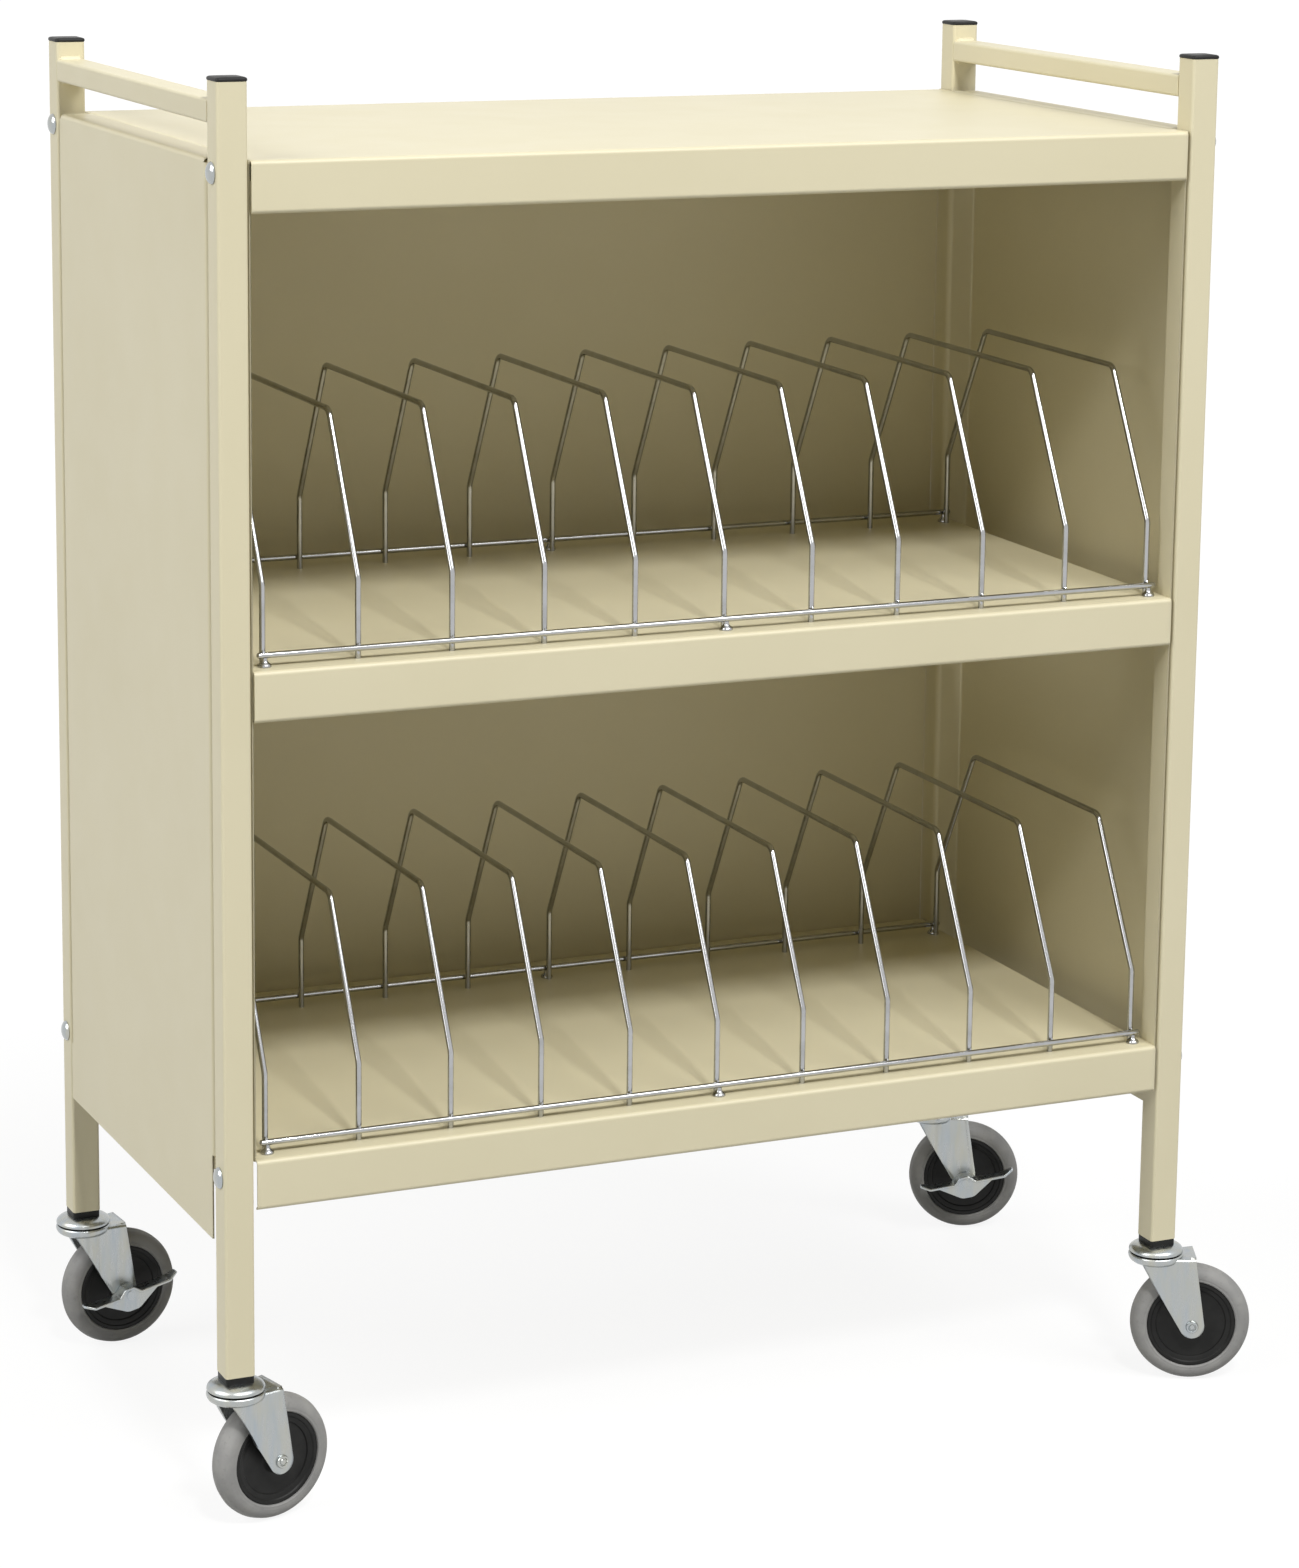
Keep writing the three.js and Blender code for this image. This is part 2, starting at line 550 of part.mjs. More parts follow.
// A brake pedal is one sheet: an outer gusset that turns on the axle, and a foot strip that reaches in
// from its top edge, humps over the axle and turns up at both tips
function brakePedal() {
  const radius = AXLE_DIAMETER / 2 + PEDAL_HUMP_CLEARANCE + PEDAL_SHEET;
  const strip = new THREE.Shape();
  strip.moveTo(-PEDAL_FRONT, PEDAL_TIP_RISE);
  strip.lineTo(-PEDAL_FRONT + PEDAL_TIP, 0);
  strip.lineTo(-radius, 0);
  strip.absarc(0, 0, radius, Math.PI, 0, true);
  strip.lineTo(PEDAL_REAR - PEDAL_TIP, 0);
  strip.lineTo(PEDAL_REAR, PEDAL_TIP_RISE);
  strip.lineTo(PEDAL_REAR, PEDAL_TIP_RISE - PEDAL_SHEET);
  strip.lineTo(PEDAL_REAR - PEDAL_TIP, -PEDAL_SHEET);
  strip.lineTo(radius - PEDAL_SHEET, -PEDAL_SHEET);
  strip.lineTo(radius - PEDAL_SHEET, 0);
  strip.absarc(0, 0, radius - PEDAL_SHEET, 0, Math.PI, false);
  strip.lineTo(-radius + PEDAL_SHEET, -PEDAL_SHEET);
  strip.lineTo(-PEDAL_FRONT + PEDAL_TIP, -PEDAL_SHEET);
  strip.lineTo(-PEDAL_FRONT, PEDAL_TIP_RISE - PEDAL_SHEET);
  strip.closePath();
  const gusset = new THREE.Shape();
  gusset.moveTo(-PEDAL_GUSSET_TOP, -PEDAL_SHEET / 2);
  gusset.lineTo(-PEDAL_GUSSET_FOOT, -PEDAL_GUSSET_DEPTH);
  gusset.lineTo(PEDAL_GUSSET_FOOT, -PEDAL_GUSSET_DEPTH);
  gusset.lineTo(PEDAL_GUSSET_TOP, -PEDAL_SHEET / 2);
  gusset.lineTo(radius - PEDAL_SHEET / 2, -PEDAL_SHEET / 2);
  gusset.absarc(0, 0, radius - PEDAL_SHEET / 2, 0, Math.PI, false);
  gusset.closePath();
  const pivot = new THREE.Path();
  pivot.absarc(0, 0, axleHole(AXLE_SIDES), 0, 2 * Math.PI);
  gusset.holes.push(pivot);
  const back = -AXLE_SEAT_Y - SEAT_GAP;
  const arcSteps = AXLE_SIDES / 2;
  const foot = alongY(strip, back - PEDAL_WIDTH, back, arcSteps);
  const web = alongY(gusset, back - PEDAL_WIDTH, back - PEDAL_WIDTH + PEDAL_SHEET, arcSteps);
  return geometryOf(join(foot, web)).rotateY(-PEDAL_TILT).translate(TRAIL, 0, AXLE_Z);
}

const FINISH = {
  cream: { color: 0xd9d2b4, roughness: 0.45, metalness: 0 },
  chrome: { color: 0xc9ccd0, roughness: 0.15, metalness: 1 },
  zinc: { color: 0xb4b9ba, roughness: 0.35, metalness: 1 },
  black: { color: 0x1f1f1e, roughness: 0.5, metalness: 0 },
  rubber: { color: 0x7d7d79, roughness: 0.8, metalness: 0 },
};

function piece(name, geometry, finish, x = 0, y = 0) {
  const mesh = new THREE.Mesh(geometry, new THREE.MeshStandardMaterial(FINISH[finish]));
  mesh.name = name;
  mesh.position.set(x, y, 0);
  return mesh;
}

function endFrame(side, name) {
  const end = new THREE.Group();
  const posts = { front: -POST_Y, rear: POST_Y };
  for (const [row, y] of Object.entries(posts)) {
    end.add(piece(`post_${row}_${name}`, post(), 'cream', side * POST_X, y));
    end.add(piece(`post_cap_${row}_${name}`, postCap(), 'black', side * POST_X, y));
  }
  end.add(piece(`hand_rail_${name}`, handRail(), 'cream', side * POST_X));
  end.add(piece(`end_panel_${name}`, endPanel(side), 'cream'));
  return end;
}

function wireRack(name, shelfTop) {
  const wires = new THREE.Group();
  for (let i = 0; i < DIVIDER_COUNT; i += 1) {
    const x = (i - (DIVIDER_COUNT - 1) / 2) * DIVIDER_PITCH;
    wires.add(piece(`divider_${name}_${i + 1}`, divider(x, shelfTop), 'chrome'));
  }
  for (const end of ['front', 'rear']) {
    wires.add(piece(`rack_rail_${name}_${end}`, rackRail(end, shelfTop), 'chrome'));
  }
  return wires;
}

function caster(place, x, y, braked) {
  const whole = new THREE.Group();
  whole.position.set(x, y, 0);
  whole.add(piece(`caster_stem_${place}`, casterStem(), 'zinc'));
  const swivel = new THREE.Group();
  swivel.rotation.z = SWIVEL[place];
  swivel.add(piece(`caster_fork_${place}`, casterFork(braked ? PEDAL_WIDTH + 2 * SEAT_GAP : 0), 'zinc'));
  swivel.add(piece(`wheel_hub_${place}`, wheelHub(), 'black'));
  swivel.add(piece(`tyre_${place}`, tyre(), 'rubber'));
  if (braked) swivel.add(piece(`brake_pedal_${place}`, brakePedal(), 'zinc'));
  whole.add(swivel);
  return whole;
}

const rack = new THREE.Group();
rack.add(endFrame(-1, 'left'), endFrame(1, 'right'));
for (const [name, top] of Object.entries(SHELF_Z)) rack.add(piece(`shelf_${name}`, shelf(top), 'cream'));
rack.add(piece('back_panel', backPanel(), 'cream'));
rack.add(wireRack('upper', SHELF_Z.middle), wireRack('lower', SHELF_Z.bottom));
rack.add(caster('front_left', -POST_X, -POST_Y, false), caster('front_right', POST_X, -POST_Y, false));
rack.add(caster('rear_left', -POST_X, POST_Y, true), caster('rear_right', POST_X, POST_Y, true));

// The origin is on the floor, under the middle of the whole rack's outline
const outline = new THREE.Box3().setFromObject(rack, true);
const middle = outline.getCenter(new THREE.Vector3());
rack.position.set(-middle.x, -middle.y, -outline.min.z);

export default rack;
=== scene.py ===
import json
import math

import bmesh
import bpy
from mathutils import Matrix, Vector


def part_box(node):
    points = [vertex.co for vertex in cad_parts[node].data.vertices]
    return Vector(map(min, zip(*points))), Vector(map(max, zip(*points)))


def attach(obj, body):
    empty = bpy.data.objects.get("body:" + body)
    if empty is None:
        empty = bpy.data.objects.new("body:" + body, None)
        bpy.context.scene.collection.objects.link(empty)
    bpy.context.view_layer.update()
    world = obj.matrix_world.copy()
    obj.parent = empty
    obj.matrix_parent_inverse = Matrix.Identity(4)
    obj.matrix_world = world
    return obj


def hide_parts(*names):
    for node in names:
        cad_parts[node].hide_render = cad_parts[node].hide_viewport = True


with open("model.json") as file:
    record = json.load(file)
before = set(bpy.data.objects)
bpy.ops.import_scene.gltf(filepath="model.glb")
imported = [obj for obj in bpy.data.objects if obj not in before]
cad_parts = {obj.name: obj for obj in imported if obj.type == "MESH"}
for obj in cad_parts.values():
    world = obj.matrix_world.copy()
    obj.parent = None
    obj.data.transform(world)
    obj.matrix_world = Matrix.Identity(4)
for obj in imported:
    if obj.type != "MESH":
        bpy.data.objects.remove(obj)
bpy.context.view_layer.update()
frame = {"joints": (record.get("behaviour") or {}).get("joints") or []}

# Corner posts: square steel tube with rolled corners, sawn off square at both ends.
# They are powder coated cream, and take a cap at the top and a caster plug at the bottom.
CORNERS = [f"{row}_{side}" for row in ("front", "rear") for side in ("left", "right")]
CREAM = (0.735, 0.675, 0.475, 1)
CREAM_SHADE = (0.70, 0.64, 0.44, 1)
COAT_ROUGHNESS = 0.36
COAT_ROUGHNESS_RANGE = 0.12
COAT_GRAIN_TINT = 0.3
COAT_GRAIN_RISE = 0.35
TUBE_WALL = 0.0016
TUBE_CORNER = 0.0025
TUBE_INNER_CORNER = 0.0009
SAWN_EDGE = 0.0003
CORNER_STEPS = 5
CREASE = math.radians(35)
WELD_DISTANCE = 1e-6


class Signal:
    """A socket of a material. Arithmetic on signals adds Math nodes to the material."""

    def __init__(self, tree, socket):
        self.tree = tree
        self.socket = socket

    def node(self, kind, settings, sockets, output=0):
        """Adds a node: its settings first, then the values or signals of its sockets."""
        made = self.tree.nodes.new(kind)
        for name, value in settings.items():
            setattr(made, name, value)
        for name, value in sockets.items():
            if isinstance(value, Signal):
                self.tree.links.new(value.socket, made.inputs[name])
            else:
                made.inputs[name].default_value = value
        return Signal(self.tree, made.outputs[output])

    def maths(self, operation, first, second):
        return self.node("ShaderNodeMath", {"operation": operation}, {0: first, 1: second})

    def __add__(self, other):
        return self.maths("ADD", self, other)

    def __sub__(self, other):
        return self.maths("SUBTRACT", self, other)

    def __rsub__(self, other):
        return self.maths("SUBTRACT", other, self)

    def __mul__(self, other):
        return self.maths("MULTIPLY", self, other)

    __radd__ = __add__
    __rmul__ = __mul__


def new_finish(name, constants):
    """A material, its shader, and the place on the piece, in metres, as a signal."""
    material = bpy.data.materials.new(name)
    material.use_nodes = True
    tree = material.node_tree
    shader = tree.nodes["Principled BSDF"]
    for socket, value in constants.items():
        shader.inputs[socket].default_value = value
    place = tree.nodes.new("ShaderNodeTexCoord").outputs["Object"]
    return material, shader, Signal(tree, place)


def feed(taker, signals):
    """Links signals to the sockets of a node that is already there."""
    for socket, signal in signals.items():
        signal.tree.links.new(signal.socket, taker.inputs[socket])


def noise(place, scale, detail=2.0):
    return place.node("ShaderNodeTexNoise", {}, {"Vector": place, "Scale": scale, "Detail": detail})


def between(factor, low, high):
    """The factor stretched so that low becomes 0 and high becomes 1."""
    return factor.node("ShaderNodeMapRange", {}, {"Value": factor, "From Min": low, "From Max": high})


def tint(factor, first, second):
    return factor.node("ShaderNodeMix", {"data_type": "RGBA"}, {0: factor, 6: first, 7: second}, 2)


def bump(height, strength, depth):
    return height.node("ShaderNodeBump", {}, {"Height": height, "Strength": strength, "Distance": depth})


def powder_coat():
    """Satin powder coat: orange peel about two millimetres across over a faint cloudiness."""
    material, shader, place = new_finish("cream_powder_coat", {"Metallic": 0.0, "IOR": 1.5})
    cloud = between(noise(place, scale=6, detail=4), low=0.3, high=0.7)
    peel = noise(place, scale=520)
    grain = noise(place, scale=2400, detail=1)
    dulling = noise(place, scale=24, detail=3)
    shade = cloud * (1 - COAT_GRAIN_TINT) + grain * COAT_GRAIN_TINT
    feed(shader, {
        "Base Color": tint(shade, CREAM, CREAM_SHADE),
        "Roughness": COAT_ROUGHNESS + COAT_ROUGHNESS_RANGE * dulling,
        "Normal": bump(peel + COAT_GRAIN_RISE * grain, strength=0.22, depth=0.00012),
    })
    return material


def rounded_rectangle(half_wide, half_high, corner):
    """Points round a rectangle about its middle, each corner an arc."""
    points = []
    for quarter, (u, v) in enumerate(((1, 1), (-1, 1), (-1, -1), (1, -1))):
        for step in range(CORNER_STEPS + 1):
            angle = (quarter + step / CORNER_STEPS) * math.pi / 2
            points.append((u * (half_wide - corner) + corner * math.cos(angle),
                           v * (half_high - corner) + corner * math.sin(angle)))
    return points


def skin(rows, ring=True, loop=False):
    """Points and faces through rows of points. Rings are closed round, and capped unless they loop."""
    count = len(rows[0])
    points = [point for row in rows for point in row]
    faces = []
    for row in range(len(rows) if loop else len(rows) - 1):
        here = row * count
        there = (row + 1) % len(rows) * count
        for column in range(count if ring else count - 1):
            beside = (column + 1) % count
            faces.append((here + column, here + beside, there + beside, there + column))
    if ring and not loop:
        faces.append(tuple(reversed(range(count))))
        faces.append(tuple(range(len(points) - count, len(points))))
    return points, faces


def piece(name, shells, material, slot, body, *nodes):
    """One piece of the rack, made of its shells, smooth on its curves and carried by a body."""
    points = []
    faces = []
    for shell_points, shell_faces in shells:
        faces += [tuple(len(points) + corner for corner in face) for face in shell_faces]
        points += shell_points
    mesh = bpy.data.meshes.new(name)
    mesh.from_pydata(points, [], faces)
    shape = bmesh.new()
    shape.from_mesh(mesh)
    bmesh.ops.remove_doubles(shape, verts=shape.verts, dist=WELD_DISTANCE)
    bmesh.ops.recalc_face_normals(shape, faces=shape.faces)
    shape.to_mesh(mesh)
    shape.free()
    mesh.shade_smooth()
    mesh.set_sharp_from_angle(angle=CREASE)
    mesh.materials.append(material)
    made = bpy.data.objects.new(name, mesh)
    bpy.context.scene.collection.objects.link(made)
    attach(made, body)
    if nodes:
        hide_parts(*nodes)
    return made


def even_shading(made):
    """Large flat faces shade flat next to narrow bends."""
    made.modifiers.new("even_shading", "WEIGHTED_NORMAL").keep_sharp = True
    return made


def square_tube(half_wide, half_high, start, end, place):
    """A tube with a bore. The place turns two sideways distances and a distance along into a point."""
    rows = []
    for inset, along in ((TUBE_WALL, start), (SAWN_EDGE, start), (0, start + SAWN_EDGE),
                         (0, end - SAWN_EDGE), (SAWN_EDGE, end), (TUBE_WALL, end)):
        corner = max(TUBE_CORNER - inset, TUBE_INNER_CORNER)
        outline = rounded_rectangle(half_wide - inset, half_high - inset, corner)
        rows.append([place(u, v, along) for u, v in outline])
    return skin(rows, loop=True)


cream = powder_coat()
for corner in CORNERS:
    low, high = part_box(f"post_{corner}")
    middle = (low + high) / 2
    half = (high.x - low.x) / 2
    tube = square_tube(half, half, low.z, high.z, lambda u, v, z: Vector((middle.x + u, middle.y + v, z)))
    even_shading(piece(f"post_tube_{corner}", [tube], cream, "cream_enamel", "frame", f"post_{corner}"))

# Post caps: black moulded plastic, a lid with a low crown and a square plug pushed into the tube.
# The lid stands out past the tube by half a millimetre all round.
BLACK = (0.009, 0.009, 0.0085, 1)
# Painted sheen: a lighter black painted into the rubbed patches of the plastic.
BLACK_PAINTED_SHEEN = (0.016, 0.016, 0.015, 1)
PLASTIC_ROUGHNESS = 0.5
PLASTIC_RUBBED_SMOOTH = 0.14
CAP_CORNER = 0.003
CAP_PLUG_PLAY = 0.0003
CAP_LID = ((0.0004, 0.0), (0.0, 0.15), (0.0, 0.5), (0.0004, 0.72),
           (0.0013, 0.86), (0.005, 0.96), (0.009, 1.0))


def moulded_plastic():
    """Matt black plastic with the fine grain of its mould, and rubbed patches that are smoother and
    painted a little lighter as a painted sheen.
    """
    material, shader, place = new_finish("black_moulded_plastic",
                                         {"Metallic": 0.0, "Specular IOR Level": 0.22})
    grain = noise(place, scale=1900, detail=3)
    # Rubbed patches: real wear lowers their roughness, and their colour is painted a little lighter as a
    # painted sheen.
    rubbed_and_painted_sheen = between(noise(place, scale=70, detail=3), low=0.35, high=0.75)
    feed(shader, {
        "Base Color": tint(rubbed_and_painted_sheen, BLACK, BLACK_PAINTED_SHEEN),
        "Roughness": PLASTIC_ROUGHNESS - PLASTIC_RUBBED_SMOOTH * rubbed_and_painted_sheen,
        "Normal": bump(grain, strength=0.2, depth=0.00006),
    })
    return material


black = moulded_plastic()
for corner in CORNERS:
    low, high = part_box(f"post_cap_{corner}")
    middle = (low + high) / 2
    half = (high.x - low.x) / 2
    post_low, post_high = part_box(f"post_{corner}")
    seat = post_high.z
    plug = (post_high.x - post_low.x) / 2 - TUBE_WALL - CAP_PLUG_PLAY
    levels = [(plug, low.z), (plug, seat)]
    levels += [(half - inset, seat + share * (high.z - seat)) for inset, share in CAP_LID]
    rows = []
    for reach, height in levels:
        outline = rounded_rectangle(reach, reach, min(CAP_CORNER, reach / 2))
        rows.append([Vector((middle.x + u, middle.y + v, height)) for u, v in outline])
    piece(f"cap_lid_{corner}", [skin(rows)], black, "black_plastic", "frame", f"post_cap_{corner}")

# Hand rails: rectangular tube as wide as the posts, set between the front and rear post of each end.
# A welded bead runs along the upper and lower edge of each joint, and is painted over.
REARWARD = Vector((0, 1, 0))
BEAD = 0.0024
BEAD_RIPPLE = 0.00025
BEAD_END_SWELL = 0.3
BEAD_SWELL_RATE = 5
BEAD_STEPS = 24
BEAD_SIDES = 8


def rod(path, radii, across, sides):
    """A round bar along a path that bends square to one direction across it."""
    rows = []
    for index, point in enumerate(path):
        ahead = path[min(index + 1, len(path) - 1)] - path[max(index - 1, 0)]
        upright = ahead.normalized().cross(across)
        ring = []
        for side in range(sides):
            angle = 2 * math.pi * side / sides
            ring.append(point + radii[index] * (math.cos(angle) * across + math.sin(angle) * upright))
        rows.append(ring)
    return skin(rows)


def weld_bead(start, end, across):
    """A bead laid in short overlapping steps, drawn in at both ends."""
    path = []
    radii = []
    for step in range(BEAD_STEPS + 1):
        share = step / BEAD_STEPS
        path.append(start.lerp(end, share))
        swell = min(1, BEAD_END_SWELL + BEAD_SWELL_RATE * min(share, 1 - share))
        radii.append(BEAD * swell + BEAD_RIPPLE * (step % 2))
    return rod(path, radii, across, BEAD_SIDES)


for side in ("left", "right"):
    low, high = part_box(f"hand_rail_{side}")
    middle = (low + high) / 2
    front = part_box(f"post_front_{side}")[1].y
    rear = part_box(f"post_rear_{side}")[0].y
    rail = square_tube((high.x - low.x) / 2, (high.z - low.z) / 2, front, rear,
                       lambda u, v, y: Vector((middle.x + u, y, middle.z + v)))
    even_shading(piece(f"hand_rail_tube_{side}", [rail], cream, "cream_enamel", "frame",
                       f"hand_rail_{side}"))
    beads = []
    for y in (front, rear):
        for z in (low.z, high.z):
            start = Vector((low.x + TUBE_CORNER, y, z))
            end = Vector((high.x - TUBE_CORNER, y, z))
            beads.append(weld_bead(start, end, REARWARD))
    piece(f"hand_rail_welds_{side}", beads, cream, "cream_enamel", "frame")

# End panels: one sheet of steel each, folded to a pan. The skin lies flush with the posts and hangs
# below the bottom shelf. Its upper edge folds in over the top, and its front and rear edges fold in
# beside the post and then along the post's inner side, down to just below the bottom deck.
SHEET = 0.0015
SHEET_BEND = 0.0035
BEND_STEPS = 4
BENT_POINTS = BEND_STEPS + 1
PANEL_SEAM = 0.003
PANEL_RELIEF = 0.002
PANEL_FOLD_END = {"front": 0.001, "rear": 0.020}


def bent(corners, radius, steps=BEND_STEPS):
    """A line through corners, with each corner between its ends bent to an arc."""
    points = [corners[0]]
    for before, corner, after in zip(corners, corners[1:], corners[2:]):
        back = (before - corner).normalized()
        ahead = (after - corner).normalized()
        half = back.angle(ahead) / 2
        sweep = math.pi - 2 * half
        centre = corner + (back + ahead).normalized() * radius / math.sin(half)
        start = corner + back * radius / math.tan(half) - centre
        end = corner + ahead * radius / math.tan(half) - centre
        for step in range(steps + 1):
            turn = sweep * step / steps
            arm = (start * math.sin(sweep - turn) + end * math.sin(turn)) / math.sin(sweep)
            points.append(centre + arm)
    return points + [corners[-1]]


def raised(line, height):
    return [Vector((point.x, point.y, height)) for point in line]


def drawn_out(line, front, rear):
    """A sheet with a line for its side view, drawn out from front to rear."""
    return skin([[Vector((p.x, front, p.z)), Vector((p.x, rear, p.z))] for p in line], ring=False)


def thickened(made, face, outward, thickness):
    """The outer face of a sheet thickened inwards. One of its faces tells whether it looks outward."""
    if face.normal.dot(outward) < 0:
        made.data.flip_normals()
    gauge = made.modifiers.new("gauge", "SOLIDIFY")
    gauge.thickness = thickness
    gauge.offset = -1
    gauge.use_even_offset = True
    return even_shading(made)


def sheet_piece(name, patches, outward, node):
    """Patches of a sheet's outer face, stitched along their edges and thickened inwards."""
    made = piece(name, patches, cream, "cream_enamel", "frame", node)
    largest = max(made.data.polygons, key=lambda face: face.area)
    return thickened(made, largest, outward, SHEET)


for side, outward in (("left", -1), ("right", 1)):
    low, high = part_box(f"end_panel_{side}")
    outer, inner = (low.x, high.x) if side == "left" else (high.x, low.x)
    flange = inner + outward * SHEET
    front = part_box(f"post_front_{side}")[1].y + PANEL_SEAM
    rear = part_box(f"post_rear_{side}")[0].y - PANEL_SEAM
    fold_front = front + SHEET_BEND + PANEL_RELIEF
    fold_rear = rear - SHEET_BEND - PANEL_RELIEF
    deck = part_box("shelf_bottom")[1].z
    end_front = deck - PANEL_FOLD_END["front"]
    end_rear = deck - PANEL_FOLD_END["rear"]
    shoulder = high.z - SHEET_BEND
    corners = [(flange, low.y), (flange, front), (outer, front),
               (outer, rear), (flange, rear), (flange, high.y)]
    line = bent([Vector((x, y, 0)) for x, y in corners], SHEET_BEND)
    skin_start = 1 + 2 * BENT_POINTS
    line[skin_start:skin_start] = [Vector((outer, fold_front, 0)), Vector((outer, fold_rear, 0))]
    return_end = 2 + BENT_POINTS
    side_view = [(outer, shoulder), (outer, high.z), (inner, high.z)]
    over_top = bent([Vector((x, 0, z)) for x, z in side_view], SHEET_BEND)
    fold_ends = [Vector((p.x, p.y, end_front if p.y < (front + rear) / 2 else end_rear)) for p in line]
    skirt = [(front + SHEET_BEND, low.z), (rear, low.z), (rear, end_rear), (rear - SHEET_BEND, end_rear),
             (fold_rear, end_rear), (fold_front, end_front), (front + SHEET_BEND, end_front)]
    patches = [
        skin([fold_ends, raised(line, shoulder)], ring=False),
        skin([raised(line[:return_end], shoulder), raised(line[:return_end], high.z)], ring=False),
        skin([raised(line[-return_end:], shoulder), raised(line[-return_end:], high.z)], ring=False),
        drawn_out(over_top, fold_front, fold_rear),
        ([Vector((outer, y, z)) for y, z in skirt], [tuple(range(len(skirt)))]),
    ]
    sheet_piece(f"end_panel_sheet_{side}", patches, Vector((outward, 0, 0)), f"end_panel_{side}")

# Shelves: one sheet each, an inverted pan. The front and rear edges fold down and their lips turn in
# below, mitred at their ends. The end flanges stop short of the corners, where the posts stand.
UPWARD = Vector((0, 0, 1))
SHELF_LIP = 0.014
SHELF_MITRE = 0.010
SHELF_NOTCH = 0.027

for level in ("top", "middle", "bottom"):
    low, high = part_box(f"shelf_{level}")
    notch_front = low.y + SHELF_NOTCH
    notch_rear = high.y - SHELF_NOTCH
    corners = [(low.y + SHELF_LIP, low.z), (low.y, low.z), (low.y, high.z),
               (high.y, high.z), (high.y, low.z), (high.y - SHELF_LIP, low.z)]
    line = bent([Vector((0, y, z)) for y, z in corners], SHEET_BEND)
    top_start = 1 + 2 * BENT_POINTS
    line[top_start:top_start] = [Vector((0, notch_front, high.z)), Vector((0, notch_rear, high.z))]
    stations = [low.x, low.x + SHEET_BEND, high.x - SHEET_BEND, high.x]
    rows = [[Vector((x, point.y, point.z)) for point in line] for x in stations]
    for row in rows:
        for lip_edge in (row[0], row[-1]):
            lip_edge.x = min(max(lip_edge.x, low.x + SHELF_MITRE), high.x - SHELF_MITRE)
    patches = [skin(rows[1:3], ring=False)]
    for end_rows, bend_start, turn in ((rows[:2], stations[1], low.x), (rows[2:], stations[2], high.x)):
        front_part = [row[:top_start + 1] for row in end_rows]
        rear_part = [row[top_start + 1:] for row in end_rows]
        end_view = [(bend_start, high.z), (turn, high.z), (turn, low.z)]
        flange = bent([Vector((x, 0, z)) for x, z in end_view], SHEET_BEND)
        patches += [skin(front_part, ring=False), skin(rear_part, ring=False)]
        patches.append(drawn_out(flange, notch_front, notch_rear))
    sheet_piece(f"shelf_sheet_{level}", patches, UPWARD, f"shelf_{level}")

# Back panel: a flat sheet with rounded corners against the rear faces of the shelves.
# Rows of blind rivets, painted over, hold it to each shelf.
BACK_CORNER = 0.004
BACK_EDGE = 0.0003
RIVETS_IN_ROW = 7
RIVET_END = 0.035
RIVET_STEPS = 20
RIVET_DOME = ((0.0042, 0.0), (0.0041, 0.0004), (0.0036, 0.0009), (0.0026, 0.0013), (0.0013, 0.0015))


def turned(profile, centre, axis, steps, loop=False):
    """A profile of radius and height turned about an axis through the centre."""
    aim = axis.to_track_quat("Z", "Y").to_matrix()
    angles = [2 * math.pi * step / steps for step in range(steps)]
    rows = []
    for radius, height in profile:
        ring = [Vector((radius * math.cos(angle), radius * math.sin(angle), height)) for angle in angles]
        rows.append([centre + aim @ point for point in ring])
    return skin(rows, loop=loop)


low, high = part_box("back_panel")
middle = (low + high) / 2
rows = []
for inset, y in ((BACK_EDGE, low.y), (0, low.y + BACK_EDGE), (0, high.y - BACK_EDGE), (BACK_EDGE, high.y)):
    outline = rounded_rectangle((high.x - low.x) / 2 - inset, (high.z - low.z) / 2 - inset, BACK_CORNER)
    rows.append([Vector((middle.x + u, y, middle.z + v)) for u, v in outline])
even_shading(piece("back_panel_sheet", [skin(rows)], cream, "cream_enamel", "frame", "back_panel"))
rivets = []
for level in ("top", "middle", "bottom"):
    shelf_low, shelf_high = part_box(f"shelf_{level}")
    for index in range(RIVETS_IN_ROW):
        share = index / (RIVETS_IN_ROW - 1)
        x = low.x + RIVET_END + share * (high.x - low.x - 2 * RIVET_END)
        centre = Vector((x, high.y, (shelf_low.z + shelf_high.z) / 2))
        rivets.append(turned(RIVET_DOME, centre, REARWARD, RIVET_STEPS))
piece("back_panel_rivets", rivets, cream, "cream_enamel", "frame")

# Frame bolts: round zinc plated heads on the outer side of each post, at the top and at the bottom shelf.
# The upper ones go through the post and the end panel's fold, with a washer and a hexagon nut behind.
# The lower ones are screwed into the post itself.
ZINC = (0.45, 0.465, 0.47, 1)
ZINC_BLUE = (0.37, 0.42, 0.46, 1)
ZINC_YELLOW = (0.46, 0.455, 0.385, 1)
ZINC_STREAK = (1, 1, 0.2)
ZINC_TINT = 0.35
ZINC_TINT_RANGE = 0.5
ZINC_DULLING = 0.1
BOLT_ROUGHNESS = 0.14
BOLT_HEAD = 0.0086
BOLT_UNDERCUT = 0.0004
BOLT_PROUD = 0.0046
BOLT_DOME_START = math.radians(8)
BOLT_DOME_SWEEP = math.radians(76)
BOLT_DOME_STEPS = 7
BOLT_STEPS = 32
BOLT_SHANK = 0.003
BOLT_DROP = {"top": 0.0095, "bottom": 0.0135}
NUT_SIDES = 6
NUT = ((0.0066, 0.0), (0.0074, 0.0006), (0.0074, 0.0044), (0.0066, 0.005))
WASHER_THICKNESS = 0.0012
WASHER = ((0.0085, 0.0), (0.0085, WASHER_THICKNESS))


